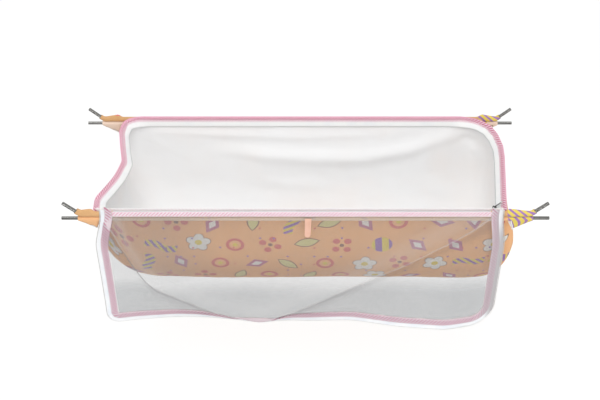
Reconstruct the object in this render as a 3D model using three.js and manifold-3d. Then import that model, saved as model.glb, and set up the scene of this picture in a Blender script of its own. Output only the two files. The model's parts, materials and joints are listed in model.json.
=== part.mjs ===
import * as THREE from 'three';
import Module from 'manifold-3d';

const wasm = await Module();
wasm.setup();
const { Manifold } = wasm;

// A cloth cradle that hangs from two pairs of steel rods.
// Millimetres, +Z up, +X along the cradle, -Y the side that the net cover hangs over.
// The origin lies between the two straight rails, at the height of their axes.

// Body of the cradle
const BODY_LENGTH = 900;
const BODY_WIDTH = 376;
const BODY_DEPTH = 280;
const OUTER_CLOTH_THICKNESS = 1.0;
const LINING_CLOTH_THICKNESS = 0.8;
const LAYER_GAP_WIDTH = 0.7;
const LEFT_SAG_DEPTH = 18;
const LEFT_BELLY_DEPTH = 14;
const RIGHT_BELLY_DEPTH = 28;
const LEFT_END_LENGTH = 150;
const RIGHT_END_LENGTH = 120;
const BACK_SWAG_DEPTH = 9;

// Steel rods and the cloth casings round them
const ROD_DIAMETER = 8;
const TUBE_WALL_THICKNESS = 1;
const RAIL_END_LENGTH = 90;
const FRONT_SLIDE_LENGTH = 12;
const BARE_END_LENGTH = 50;
const BEND_RADIUS = 20;
const BENT_END_LENGTH = 38;
const CASING_THICKNESS = 1.3;
const LOBE_DEPTH = 24;
const LOBE_LENGTH = 45;

// Edge seams and the zip
const SEAM_WIDTH = 10.5;
const SEAM_THICKNESS = 2.4;
const TAPE_WIDTH = 14;
const TAPE_THICKNESS = 0.9;
const COIL_WIDTH = 2.6;
const STOP_LENGTH = 5;
const STOP_WIDTH = 4;

// Net cover
const COVER_END_LENGTH = 13;
const COVER_DEPTH = 330;
const NET_THICKNESS = 0.8;
const HEM_HEIGHT = 13;
const HEM_THICKNESS = 1.6;
const LEFT_CORNER_RADIUS = 32;
const RIGHT_CORNER_RADIUS = 60;
const TAPE_STUB_LENGTH = 6;
const LEFT_TUCK_LENGTH = 22;
const RIGHT_TUCK_LENGTH = 14;
const TUCK_REACH_LENGTH = 70;
const TUCK_DEPTH = 110;
const SWAG_DEPTH = 30;
const SWING_DEPTH = 46;

// Keeper tab on the cover
const TAB_WIDTH = 15;
const TAB_LENGTH = 49;
const TAB_THICKNESS = 2.2;
const TAB_OFFSET_LENGTH = 18;
const TAB_TOP_DEPTH = 18;

// Zip slider and pull
const SLIDER_LENGTH = 13;
const SLIDER_WIDTH = 11;
const SLIDER_PLATE_THICKNESS = 1.3;
const SLIDER_POST_WIDTH = 1.6;
const SLIDER_START_LENGTH = 20;
const EAR_HEIGHT = 4;
const EAR_THICKNESS = 1.2;
const EAR_LENGTH = 4;
const PULL_LENGTH = 26;
const PULL_WIDTH = 5;
const PULL_THICKNESS = 1.4;
const PULL_TAIL_LENGTH = 1;

// Clear space between neighbouring pieces
const GAP_WIDTH = 0.4;

// Angles in degrees
const BENT_RISE_ANGLE = 42;
const BACK_SEAM_ANGLE = 84;
const END_SEAM_ANGLE = 22;
const BACK_TAPE_ANGLE = 80;
const LEFT_TAPE_ANGLE = 20;
const RIGHT_TAPE_ANGLE = 45;
const PULL_RISE_ANGLE = 5;
const HEADING_FRONT_ANGLE = 10;
const HEADING_INSIDE_ANGLE = 140;

// How square the curves of the body are: 2 is an ellipse
const SECTION_POWER = 3;
const LEFT_POWER = 3;
const RIGHT_POWER = 7;

// Rim of each end in plan: [across, along] as shares of the half width and half length
const LEFT_RIM_SHARES = [
  [-1, -1], [-0.76, -1.01], [-0.54, -0.987], [-0.22, -0.957], [0.14, -0.937],
  [0.41, -0.962], [0.72, -0.985], [0.9, -0.975], [0.97, -0.945], [1, -0.9],
];
const RIGHT_RIM_SHARES = [
  [-1, 1], [0.1, 1.07], [0.35, 1.08], [0.6, 1.072], [0.78, 1.05], [0.9, 1.01], [0.97, 0.965], [1, 0.9],
];

// Lower edge of the swag in the net: [along the cover, down the cover]
const SWAG_EDGE_SHARES = [
  [-1, 0.04], [-0.87, 0.24], [-0.76, 0.6], [-0.45, 0.87], [-0.2, 0.97], [0.02, 0.8],
  [0.38, 0.5], [0.7, 0.25], [0.92, 0.07], [1, 0.03],
];

// How far the lower edge of the net swings out: [along the cover, share of the swing depth]
const SWING_SHARES = [
  [-1, 0.5], [-0.85, 0.25], [-0.65, 0.04], [-0.45, 0], [-0.2, 0.05], [0.05, 0.3],
  [0.27, 0.28], [0.5, 0.75], [0.75, 1], [0.92, 0.6], [1, 0.45],
];

// Shares of the net's drop over which the cover leaves its hinge plane, and the swag rises and falls
const TOP_FLAT_SHARE = 0.12;
const SWAG_RISE_POWER = 1.6;
const SWAG_FALL_SHARE = 0.1;
const SWAG_FULL_SHARE = 0.4;

// The shallow fold along the back wall: its level, slope and height as shares
const FOLD_LEVEL_SHARE = 0.42;
const FOLD_SLOPE_SHARE = 0.12;
const FOLD_HEIGHT_SHARE = 0.16;
const FOLD_FADE_SHARE = 1.1;

// Share of the depth at which the ends swell most, and how much more the right one swells in front
const BELLY_LEVEL_SHARE = 0.45;
const RIGHT_FRONT_SHARE = 0.5;

// Angle of the section at which the walls meet the base, in degrees either side of the lowest line
const BASE_EDGE_ANGLE = 38;

// Numbers of steps in the meshes
const END_STEPS = 7;
const MIDDLE_STEPS = 14;
const SECTION_STEPS = 14;
const NET_COLUMNS = 34;
const NET_ROWS = 13;
const HEADING_STEPS = 8;
const EDGE_STEPS = 14;
const CORNER_STEPS = 5;
const BACK_STEPS = 12;
const ROUND_STEPS = 16;
const BEND_STEPS = 4;
const COIL_SIDES = 6;
const TAB_STEPS = 6;

// Degrees in parts of a turn, and the share of the depth under which a point counts as the rim
const HALF_TURN = 180;
const QUARTER_TURN = HALF_TURN / 2;
const RADIAN = Math.PI / HALF_TURN;
const RIM_SHARE = 1e-6;

// Sizes that follow from the ones above
const halfLength = BODY_LENGTH / 2;
const railY = BODY_WIDTH / 2;
const railHalf = halfLength + RAIL_END_LENGTH;
const bendStart = railHalf - BARE_END_LENGTH;
const sleeveReach = bendStart + BEND_RADIUS * Math.sin(BENT_RISE_ANGLE * RADIAN);
const rodRadius = ROD_DIAMETER / 2;
const casingInner = rodRadius + GAP_WIDTH;
const casingOuter = casingInner + CASING_THICKNESS;
const rodZ = 2 * casingOuter + GAP_WIDTH;
const seamY = railY - casingOuter - GAP_WIDTH;
const rimZ = rodZ;
const liningBack = OUTER_CLOTH_THICKNESS + LAYER_GAP_WIDTH;
const liningFace = liningBack + LINING_CLOTH_THICKNESS;
const headingRadius = casingOuter + GAP_WIDTH + NET_THICKNESS / 2;
const hingeY = -(railY + headingRadius + (NET_THICKNESS + HEM_THICKNESS) / 2 + GAP_WIDTH);
const hingeZ = rimZ + GAP_WIDTH + SEAM_WIDTH + HEM_THICKNESS;
const coverHalf = halfLength + COVER_END_LENGTH;
const seamEdge = TAPE_WIDTH + COIL_WIDTH + 2 * GAP_WIDTH;
const netEdge = seamEdge + SEAM_WIDTH + 2 * GAP_WIDTH;

const PEACH = 0xf0aa6e;
const WHITE = 0xf2f2ef;
const NET = 0xd4d8dc;
const PINK = 0xe79ab2;
const STEEL = 0x9a9c9b;
const DARK_STEEL = 0x4c4e50;

// Helpers for closed meshes

/** A mesh from corner points and triangles, turned so that its faces look outward. */
function solid(name, colour, points, triangles, metal = false) {
  let volume = 0;
  for (const [a, b, c] of triangles) {
    volume += points[a].dot(new THREE.Vector3().crossVectors(points[b], points[c]));
  }
  const turned = volume < 0 ? triangles.map(([a, b, c]) => [a, c, b]) : triangles;
  const geometry = new THREE.BufferGeometry();
  const places = points.flatMap((point) => point.toArray());
  geometry.setAttribute('position', new THREE.Float32BufferAttribute(places, 3));
  geometry.setIndex(turned.flat());
  geometry.computeVertexNormals();
  const finish = metal ? { metalness: 0.9, roughness: 0.35 } : { metalness: 0, roughness: 0.9 };
  const mesh = new THREE.Mesh(geometry, new THREE.MeshStandardMaterial({ color: colour, ...finish }));
  mesh.name = name;
  return mesh;
}

/** The two triangles of a four-cornered face. */
function quad(a, b, c, d) {
  return [[a, b, c], [a, c, d]];
}

/** A closed bar through rings of equal length. */
function bar(name, colour, rings, metal = false) {
  const count = rings[0].length;
  const triangles = [];
  for (let i = 0; i + 1 < rings.length; i += 1) {
    for (let j = 0; j < count; j += 1) {
      const k = (j + 1) % count;
      triangles.push(...quad(i * count + j, i * count + k, (i + 1) * count + k, (i + 1) * count + j));
    }
  }
  const last = (rings.length - 1) * count;
  for (let j = 1; j + 1 < count; j += 1) {
    triangles.push([0, j + 1, j], [last, last + j, last + j + 1]);
  }
  return solid(name, colour, rings.flat(), triangles, metal);
}

/** A closed tube through outer and inner rings of equal length. */
function tube(name, colour, outer, inner, metal = false) {
  const count = outer[0].length;
  const shift = outer.length * count;
  const last = (outer.length - 1) * count;
  const triangles = [];
  for (let j = 0; j < count; j += 1) {
    const k = (j + 1) % count;
    for (let i = 0; i + 1 < outer.length; i += 1) {
      const row = i * count;
      const next = row + count;
      triangles.push(...quad(row + j, row + k, next + k, next + j));
      triangles.push(...quad(shift + row + k, shift + row + j, shift + next + j, shift + next + k));
    }
    triangles.push(...quad(k, j, shift + j, shift + k));
    triangles.push(...quad(last + j, last + k, shift + last + k, shift + last + j));
  }
  return solid(name, colour, [...outer.flat(), ...inner.flat()], triangles, metal);
}

/** Normals of a grid of points, from the differences between neighbours. */
function gridNormals(grid) {
  const rows = grid.length;
  const columns = grid[0].length;
  return grid.map((row, i) => row.map((_, j) => {
    const [above, below] = [grid[Math.max(i - 1, 0)][j], grid[Math.min(i + 1, rows - 1)][j]];
    const [before, after] = [row[Math.max(j - 1, 0)], row[Math.min(j + 1, columns - 1)]];
    const down = new THREE.Vector3().subVectors(below, above);
    return down.cross(new THREE.Vector3().subVectors(after, before)).normalize();
  }));
}

/** A closed sheet between two offsets from a grid of points. */
function sheet(name, colour, grid, from, to, normals = gridNormals(grid)) {
  const rows = grid.length;
  const columns = grid[0].length;
  const face = (offset) => grid.flatMap((row, i) => row.map(
    (point, j) => point.clone().addScaledVector(normals[i][j], offset),
  ));
  const shift = rows * columns;
  const at = (i, j) => i * columns + j;
  const triangles = [];
  for (let i = 0; i + 1 < rows; i += 1) {
    for (let j = 0; j + 1 < columns; j += 1) {
      triangles.push(...quad(at(i, j), at(i, j + 1), at(i + 1, j + 1), at(i + 1, j)));
      triangles.push(...quad(
        shift + at(i, j), shift + at(i + 1, j), shift + at(i + 1, j + 1), shift + at(i, j + 1),
      ));
    }
  }
  const edge = [];
  for (let j = 0; j + 1 < columns; j += 1) edge.push(at(0, j));
  for (let i = 0; i + 1 < rows; i += 1) edge.push(at(i, columns - 1));
  for (let j = columns - 1; j > 0; j -= 1) edge.push(at(rows - 1, j));
  for (let i = rows - 1; i > 0; i -= 1) edge.push(at(i, 0));
  edge.forEach((a, n) => {
    const b = edge[(n + 1) % edge.length];
    triangles.push(...quad(b, a, shift + a, shift + b));
  });
  return solid(name, colour, [...face(to), ...face(from)], triangles);
}

/** The value of a table of [place, value] pairs at a place, on straight lines between them. */
function valueAt(table, place) {
  const next = Math.max(1, table.findIndex(([at]) => at >= place));
  const [a, low] = table[next - 1];
  const [b, high] = table[next];
  return THREE.MathUtils.mapLinear(THREE.MathUtils.clamp(place, a, b), a, b, low, high);
}

/** Evenly spread values from one end to the other, both ends included. */
function spread(from, to, steps) {
  return Array.from({ length: steps + 1 }, (_, i) => from + (to - from) * (i / steps));
}

// Rods, rails and casings

/** Stations of a rod's axis: place along X, height above the rod's line and slope. */
function bentAxis(tipLength) {
  const half = [];
  for (const angle of spread(0, BENT_RISE_ANGLE * RADIAN, BEND_STEPS)) {
    half.push({
      x: bendStart + BEND_RADIUS * Math.sin(angle),
      z: BEND_RADIUS * (1 - Math.cos(angle)),
      slope: angle,
    });
  }
  if (tipLength > 0) {
    const end = half[half.length - 1];
    half.push({
      x: end.x + tipLength * Math.cos(end.slope),
      z: end.z + tipLength * Math.sin(end.slope),
      slope: end.slope,
    });
  }
  const mirrored = half.map(({ x, z, slope }) => ({ x: -x, z, slope: -slope })).reverse();
  return [...mirrored, ...half];
}

/** A ring of points round an axis that runs along X and slopes in the XZ plane. */
function ring(x, y, z, slope, radius, lobe = 0) {
  return Array.from({ length: ROUND_STEPS }, (_, i) => {
    const turn = (2 * Math.PI * i) / ROUND_STEPS;
    const up = radius * Math.sin(turn) - lobe * Math.max(0, -Math.sin(turn));
    const across = radius * Math.cos(turn);
    return new THREE.Vector3(x - up * Math.sin(slope), y + across, z + up * Math.cos(slope));
  });
}

/** A straight open-ended steel tube along X. */
function rail(name, y, slide) {
  const rings = (radius) => [slide - railHalf, slide + railHalf].map((x) => ring(x, y, 0, 0, radius));
  return tube(name, STEEL, rings(rodRadius), rings(rodRadius - TUBE_WALL_THICKNESS), true);
}

/** A steel tube with both ends bent up, for the hanging ropes. */
function hangerRod(name, y, slide) {
  const rings = (radius) => bentAxis(BENT_END_LENGTH).map(
    ({ x, z, slope }) => ring(x + slide, y, rodZ + z, slope, radius),
  );
  return tube(name, STEEL, rings(rodRadius), rings(rodRadius - TUBE_WALL_THICKNESS), true);
}

/** The cloth channel round a hanger rod. */
function rodCasing(name, y, slide) {
  const rings = (radius) => bentAxis(0).map(
    ({ x, z, slope }) => ring(x + slide, y, rodZ + z, slope, radius),
  );
  return tube(name, PEACH, rings(casingOuter), rings(casingInner));
}

/** The cloth channel round a rail, with a lobe of cloth that tapers to each end. */
function railPocket(name, y, slide) {
  const lobeStart = sleeveReach - LOBE_LENGTH;
  const side = [
    { x: lobeStart, lobe: 0 },
    { x: lobeStart + SEAM_THICKNESS, lobe: LOBE_DEPTH },
    { x: sleeveReach, lobe: 0 },
  ];
  const mirrored = side.map(({ x, lobe }) => ({ x: -x, lobe })).reverse();
  const stations = [...mirrored, ...side];
  const outer = stations.map(({ x, lobe }) => ring(x + slide, y, 0, 0, casingOuter, lobe));
  const inner = stations.map(({ x }) => ring(x + slide, y, 0, 0, casingInner));
  return tube(name, PEACH, outer, inner);
}

// Body cloth

/** X of the rim of one end at a place across the body. */
function rimX(side, y) {
  const table = side < 0 ? LEFT_RIM_SHARES : RIGHT_RIM_SHARES;
  return halfLength * valueAt(table, y / seamY);
}

/** Height of the rim of one end at a place across the body. */
function rimHeight(side, y) {
  const sag = side < 0 ? LEFT_SAG_DEPTH : 0;
  return rimZ - sag * Math.cos((Math.PI * y) / (2 * seamY)) ** 2;
}

/** Distance from the middle of a squared circle to its edge at an angle. */
function squaredRadius(angle, power) {
  return (Math.abs(Math.sin(angle)) ** power + Math.abs(Math.cos(angle)) ** power) ** (-1 / power);
}

/** Stations of one end of the body: its side, its reach to the rim and its share of the depth. */
function endStations(side) {
  const power = side < 0 ? LEFT_POWER : RIGHT_POWER;
  return spread(0, Math.PI / 2, END_STEPS).map((angle) => ({
    side,
    reach: Math.sin(angle) * squaredRadius(angle, power),
    depth: Math.max(0, Math.cos(angle)) * squaredRadius(angle, power),
  }));
}

/** Stations along the middle of the body, which is as deep as the body gets. */
function middleStations() {
  const from = LEFT_END_LENGTH + GAP_WIDTH / 2 - halfLength;
  const to = halfLength - RIGHT_END_LENGTH - GAP_WIDTH / 2;
  return spread(from, to, MIDDLE_STEPS).map((x) => ({ side: 0, x, depth: 1 }));
}

/** Angles at which a stretch of the body's section is drawn, in degrees from its lowest line. */
function sectionAngles(from, to) {
  return spread(from * RADIAN, to * RADIAN, Math.round((SECTION_STEPS * (to - from)) / HALF_TURN));
}

/** Place across the body at an angle of its section, as a share of the half width. */
function acrossAt(angle) {
  return Math.sin(angle) * squaredRadius(angle, SECTION_POWER);
}

/** Share of the depth at an angle of the section, from 0 at the rim to 1 at the lowest line. */
function depthAt(angle) {
  return Math.max(0, Math.cos(angle)) * squaredRadius(angle, SECTION_POWER);
}

/** A point of the outer face of the body cloth. */
function bodyPoint(station, angle) {
  const across = acrossAt(angle);
  const depth = station.depth * depthAt(angle);
  const y = seamY * across;
  let { x } = station;
  let top = rimZ;
  if (station.side !== 0) {
    const rounding = station.side < 0 ? LEFT_END_LENGTH : RIGHT_END_LENGTH;
    const inner = station.side * (halfLength - rounding + GAP_WIDTH / 2);
    const belly = station.side < 0
      ? -LEFT_BELLY_DEPTH
      : RIGHT_BELLY_DEPTH * (1 + RIGHT_FRONT_SHARE * Math.max(0, -across));
    const level = depth / BELLY_LEVEL_SHARE;
    const swell = level * Math.exp(1 - level);
    x = inner + (rimX(station.side, y) - inner + belly * swell) * station.reach;
    top = THREE.MathUtils.lerp(rimZ, rimHeight(station.side, y), station.reach);
  }
  const level = FOLD_LEVEL_SHARE - FOLD_SLOPE_SHARE * (x / halfLength);
  const fold = Math.exp(-(((depth - level) / FOLD_HEIGHT_SHARE) ** 2)) * Math.max(0, across) ** 2;
  const along = Math.cos((Math.PI * x) / (2 * FOLD_FADE_SHARE * halfLength)) ** 2;
  return new THREE.Vector3(x, y - BACK_SWAG_DEPTH * fold * along, top - (BODY_DEPTH + top) * depth);
}

/** A panel of the body cloth, level along the rim so that all layers end at one height. */
function bodyPanel(name, colour, stations, angles, from, to) {
  const grid = stations.map((station) => angles.map((angle) => bodyPoint(station, angle)));
  const normals = gridNormals(grid);
  const [rows, columns] = [stations.length, angles.length];
  const endRim = stations.map(({ depth }) => depth < RIM_SHARE);
  const sideRim = angles.map((angle) => depthAt(angle) < RIM_SHARE);
  const levelled = (i, j) => normals[i][j].clone().setZ(0).normalize();
  const level = normals.map((row, i) => row.map((normal, j) => {
    if (endRim[i] && sideRim[j]) {
      const nextRow = i === 0 ? 1 : rows - 2;
      const nextColumn = j === 0 ? 1 : columns - 2;
      return levelled(nextRow, j).add(levelled(i, nextColumn)).normalize();
    }
    return endRim[i] || sideRim[j] ? levelled(i, j) : normal;
  }));
  const inward = Math.sign(level[Math.floor(rows / 2)][Math.floor(columns / 2)].dot(
    new THREE.Vector3(0, 0, rimZ).sub(grid[Math.floor(rows / 2)][Math.floor(columns / 2)]),
  ));
  return sheet(name, colour, grid, inward * from, inward * to, level);
}

// Seams and zip round the rim

/** Stations round the left, back and right rim: point, outward direction and side, 0 at the back. */
function rimPath() {
  const start = SEAM_THICKNESS + 2 * GAP_WIDTH - seamY;
  const further = sectionAngles(-QUARTER_TURN, QUARTER_TURN)
    .map((angle) => acrossAt(angle) * seamY)
    .filter((y) => y > start + SEAM_WIDTH / 2);
  const end = (side) => [start, ...further].map((y) => (
    { point: new THREE.Vector3(rimX(side, y), y, rimHeight(side, y)), side }
  ));
  const left = end(-1);
  const right = end(1).reverse();
  const middle = spread(left[left.length - 1].point.x, right[0].point.x, BACK_STEPS).slice(1, -1)
    .map((x) => ({ point: new THREE.Vector3(x, seamY, rimZ), side: 0 }));
  const stations = [...left, ...middle, ...right];
  return stations.map(({ point, side }, i) => {
    const before = stations[Math.max(i - 1, 0)].point;
    const after = stations[Math.min(i + 1, stations.length - 1)].point;
    const outward = new THREE.Vector3(before.y - after.y, after.x - before.x, 0).normalize();
    return { point, outward, side };
  });
}

/** A direction across the rim that leans up from the outward one. */
function leaning(outward, degrees) {
  const lean = degrees * RADIAN;
  return outward.clone().multiplyScalar(Math.cos(lean)).setZ(Math.sin(lean));
}

/** The upper side of a strip that runs across the rim. */
function upperSide(outward, across) {
  const along = new THREE.Vector3(-outward.y, outward.x, 0);
  const normal = new THREE.Vector3().crossVectors(along, across);
  return normal.z < 0 ? normal.negate() : normal;
}

/** A flat section: a rectangle that starts at a point and runs along a direction. */
function flatSection(point, across, normal, width, thickness) {
  const half = thickness / 2;
  return [[0, -half], [width, -half], [width, half], [0, half]].map(
    ([along, up]) => point.clone().addScaledVector(across, along).addScaledVector(normal, up),
  );
}

/** A small round section. */
function roundSection(point, across, normal, width) {
  return Array.from({ length: COIL_SIDES }, (_, i) => {
    const turn = (2 * Math.PI * i) / COIL_SIDES;
    return point.clone()
      .addScaledVector(across, (width / 2) * Math.cos(turn))
      .addScaledVector(normal, (width / 2) * Math.sin(turn));
  });
}

/** The overlocked seam that stands up along the back rim and lies outward at the ends. */
function rimSeam() {
  const rings = rimPath().map(({ point, outward }) => {
    const facing = Math.abs(outward.y);
    const across = leaning(outward, THREE.MathUtils.lerp(END_SEAM_ANGLE, BACK_SEAM_ANGLE, facing));
    const normal = upperSide(outward, across);
    const base = point.clone().addScaledVector(outward, -(SEAM_THICKNESS / 2) * across.z);
    base.z += GAP_WIDTH + (SEAM_THICKNESS / 2) * normal.z;
    return flatSection(base, across, normal, SEAM_WIDTH, SEAM_THICKNESS);
  });
  return bar('rim_seam_loop', PINK, rings);
}

/** Stations of the zip tape: its start at the rim, its direction inward and its upper side. */
function tapePath() {
  const leans = { '-1': LEFT_TAPE_ANGLE, 0: BACK_TAPE_ANGLE, 1: RIGHT_TAPE_ANGLE };
  return rimPath().map(({ point, outward, side }) => {
    const across = leaning(outward, leans[side]).negate();
    const normal = upperSide(outward, across);
    const clear = GAP_WIDTH + TAPE_THICKNESS / 2;
    const start = point.clone().addScaledVector(outward, -(liningFace + clear));
    start.z += clear;
    return { start, across, normal };
  });
}

/** The half of the zip tape that stays on the body. */
function rimTape() {
  const rings = tapePath().map(
    ({ start, across, normal }) => flatSection(start, across, normal, TAPE_WIDTH, TAPE_THICKNESS),
  );
  return bar('rim_zip_tape', WHITE, rings);
}

/** Centre of the zip coil at a station of the tape. */
function coilCentre({ start, across }) {
  return start.clone().addScaledVector(across, TAPE_WIDTH + GAP_WIDTH + COIL_WIDTH / 2);
}

/** The zip coil along the free edge of the rim tape. */
function rimCoil() {
  const rings = tapePath().map((station) => roundSection(
    coilCentre(station), station.across, station.normal, COIL_WIDTH,
  ));
  return bar('rim_zip_coil', WHITE, rings);
}

/** A metal stop on the tape beside one end of the coil. */
function rimStop(name, station, toward) {
  const along = new THREE.Vector3().subVectors(coilCentre(toward), coilCentre(station)).normalize();
  const base = station.start.clone()
    .addScaledVector(station.across, TAPE_WIDTH - STOP_WIDTH)
    .addScaledVector(station.normal, TAPE_THICKNESS + GAP_WIDTH);
  const rings = [GAP_WIDTH, STOP_LENGTH].map((shift) => flatSection(
    base.clone().addScaledVector(along, shift), station.across, station.normal, STOP_WIDTH, TAPE_THICKNESS,
  ));
  return bar(name, STEEL, rings, true);
}

/** The overlocked seam that stands on the front rim. */
function frontSeam() {
  const up = new THREE.Vector3(0, 0, 1);
  const thick = new THREE.Vector3(0, 1, 0);
  const y = SEAM_THICKNESS / 2 - seamY;
  const rings = spread(-halfLength, halfLength, BACK_STEPS).map((x) => flatSection(
    new THREE.Vector3(x, y, rimZ + GAP_WIDTH), up, thick, SEAM_WIDTH, SEAM_THICKNESS,
  ));
  return bar('rim_seam_front', PINK, rings);
}

// Net cover

/** How far the cover stands out from its hinge plane, at shares along and down it. */
function coverOutward(along, down) {
  const edge = valueAt(SWAG_EDGE_SHARES, along);
  const full = SWAG_DEPTH * Math.min(1, edge / SWAG_FULL_SHARE);
  const rise = Math.sin((Math.PI / 2) * Math.min(1, Math.max(0, down) / edge) ** SWAG_RISE_POWER);
  const fall = Math.exp(-Math.max(0, down - edge) / SWAG_FALL_SHARE);
  const leave = Math.min(1, Math.max(0, down) / TOP_FLAT_SHARE) ** 2;
  return full * rise * fall * leave + SWING_DEPTH * valueAt(SWING_SHARES, along) * Math.max(0, down) ** 2;
}

/** How far the upper corners of the cover are drawn in along the rod. */
function coverTuck(x, drop) {
  const inner = coverHalf - netEdge;
  const near = THREE.MathUtils.smoothstep(Math.abs(x), inner - TUCK_REACH_LENGTH, inner);
  const high = 1 - THREE.MathUtils.smoothstep(drop, 0, TUCK_DEPTH);
  return (x < 0 ? LEFT_TUCK_LENGTH : -RIGHT_TUCK_LENGTH) * near * high;
}

/** A point of the middle of the cover cloth, from its place on the flat cloth. */
function coverPoint(x, drop) {
  const outward = coverOutward(THREE.MathUtils.clamp(x / coverHalf, -1, 1), drop / COVER_DEPTH);
  return new THREE.Vector3(x + coverTuck(x, drop), hingeY - outward, hingeZ - drop);
}

/** Stations down the left edge of the flat cover, along its lower edge and up the right edge. */
function coverPath() {
  const corner = (side, radius, from, to) => spread(from, to, CORNER_STEPS).map((angle) => ({
    x: side * (coverHalf - radius) + radius * Math.cos(angle),
    drop: COVER_DEPTH - radius + radius * Math.sin(angle),
    inX: -Math.cos(angle),
    inDrop: -Math.sin(angle),
  }));
  const left = spread(-TAPE_STUB_LENGTH, COVER_DEPTH - LEFT_CORNER_RADIUS, EDGE_STEPS).slice(0, -1)
    .map((drop) => ({ x: -coverHalf, drop, inX: 1, inDrop: 0 }));
  const [lowerStart, lowerEnd] = [LEFT_CORNER_RADIUS - coverHalf, coverHalf - RIGHT_CORNER_RADIUS];
  const lower = spread(lowerStart, lowerEnd, NET_COLUMNS).slice(1, -1)
    .map((x) => ({ x, drop: COVER_DEPTH, inX: 0, inDrop: -1 }));
  const right = spread(COVER_DEPTH - RIGHT_CORNER_RADIUS, -TAPE_STUB_LENGTH, EDGE_STEPS).slice(1)
    .map((drop) => ({ x: coverHalf, drop, inX: -1, inDrop: 0 }));
  return [
    ...left,
    ...corner(-1, LEFT_CORNER_RADIUS, Math.PI, Math.PI / 2),
    ...lower,
    ...corner(1, RIGHT_CORNER_RADIUS, Math.PI / 2, 0),
    ...right,
  ];
}

/** A strip round the free edges of the cover, between two distances from its edge. */
function coverStrip(name, colour, from, width, thickness) {
  const grid = coverPath().map(({ x, drop, inX, inDrop }) => [from, from + width].map(
    (inset) => coverPoint(x + inX * inset, drop + inDrop * inset),
  ));
  return sheet(name, colour, grid, -thickness / 2, thickness / 2);
}

/** The net between the seams of the cover. */
function netPanel(edge) {
  const cut = (drop, radius) => {
    const inner = radius - edge;
    const below = Math.max(0, drop - (COVER_DEPTH - radius));
    return inner - Math.sqrt(Math.max(0, inner ** 2 - below ** 2));
  };
  const rows = [
    ...spread(HEM_HEIGHT + GAP_WIDTH, COVER_DEPTH - RIGHT_CORNER_RADIUS, NET_ROWS).slice(0, -1),
    ...spread(0, Math.PI / 2, CORNER_STEPS - 1).map(
      (angle) => COVER_DEPTH - RIGHT_CORNER_RADIUS + (RIGHT_CORNER_RADIUS - edge) * Math.sin(angle),
    ),
  ];
  const grid = rows.map((drop) => spread(
    edge - coverHalf + cut(drop, LEFT_CORNER_RADIUS),
    coverHalf - edge - cut(drop, RIGHT_CORNER_RADIUS),
    NET_COLUMNS,
  ).map((x) => coverPoint(x, drop)));
  return sheet('net_panel', NET, grid, -NET_THICKNESS / 2, NET_THICKNESS / 2);
}

/** The hem along the top of the cover, between its side seams. */
function coverHem(edge) {
  const grid = [0, HEM_HEIGHT].map((drop) => spread(edge - coverHalf, coverHalf - edge, NET_COLUMNS)
    .map((x) => coverPoint(x, drop)));
  return sheet('cover_hem', WHITE, grid, -HEM_THICKNESS / 2, HEM_THICKNESS / 2);
}

/** The start of the net, which runs from the front seam over the casing and stays with the body. */
function coverHeading(edge) {
  const grid = spread(HEADING_FRONT_ANGLE * RADIAN, HEADING_INSIDE_ANGLE * RADIAN, HEADING_STEPS).map(
    (angle) => [edge - coverHalf, coverHalf - edge].map((x) => new THREE.Vector3(
      x + coverTuck(x, 0),
      -railY - headingRadius * Math.cos(angle),
      rodZ + headingRadius * Math.sin(angle),
    )),
  );
  return sheet('cover_heading', NET, grid, -NET_THICKNESS / 2, NET_THICKNESS / 2);
}

/** The folded cloth tab that lies on the net near the middle of the front rim. */
function keeperTab() {
  const drops = spread(TAB_TOP_DEPTH, TAB_TOP_DEPTH + TAB_LENGTH, TAB_STEPS);
  const grid = drops.map((drop) => [0, TAB_WIDTH].map(
    (shift) => coverPoint(TAB_OFFSET_LENGTH + shift - TAB_WIDTH / 2, drop),
  ));
  const outside = Math.sign(-gridNormals(grid)[0][0].y);
  const clear = NET_THICKNESS / 2 + GAP_WIDTH;
  return sheet('keeper_tab', PEACH, grid, outside * clear, outside * (clear + TAB_THICKNESS));
}

// Zip slider and pull

/** The frame of the slider: its centre on the coil and its directions along, across and up. */
function sliderFrame() {
  const path = tapePath();
  const [to, from] = path.slice(-2);
  const start = coilCentre(from);
  const along = new THREE.Vector3().subVectors(coilCentre(to), start).normalize();
  const up = from.normal.clone();
  const across = new THREE.Vector3().crossVectors(up, along).normalize();
  return { centre: start.addScaledVector(along, SLIDER_START_LENGTH), along, across, up };
}

/** One piece made of boxes, each given by its ranges along, across and up in a frame. */
function boxes(name, frame, ranges) {
  const { centre, along, across, up } = frame;
  const basis = new THREE.Matrix4().makeBasis(along, across, up).setPosition(centre);
  const joined = ranges.map((box) => {
    const size = box.map(([from, to]) => to - from);
    const middle = box.map(([from, to]) => (from + to) / 2);
    return Manifold.cube(size, true).translate(middle);
  }).reduce((whole, next) => whole.add(next));
  const { numProp, vertProperties, triVerts } = joined.getMesh();
  const points = [];
  for (let i = 0; i < vertProperties.length; i += numProp) {
    points.push(new THREE.Vector3(...vertProperties.slice(i, i + 3)).applyMatrix4(basis));
  }
  const triangles = [];
  for (let i = 0; i < triVerts.length; i += 3) triangles.push([...triVerts.slice(i, i + 3)]);
  return solid(name, DARK_STEEL, points, triangles, true);
}

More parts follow.
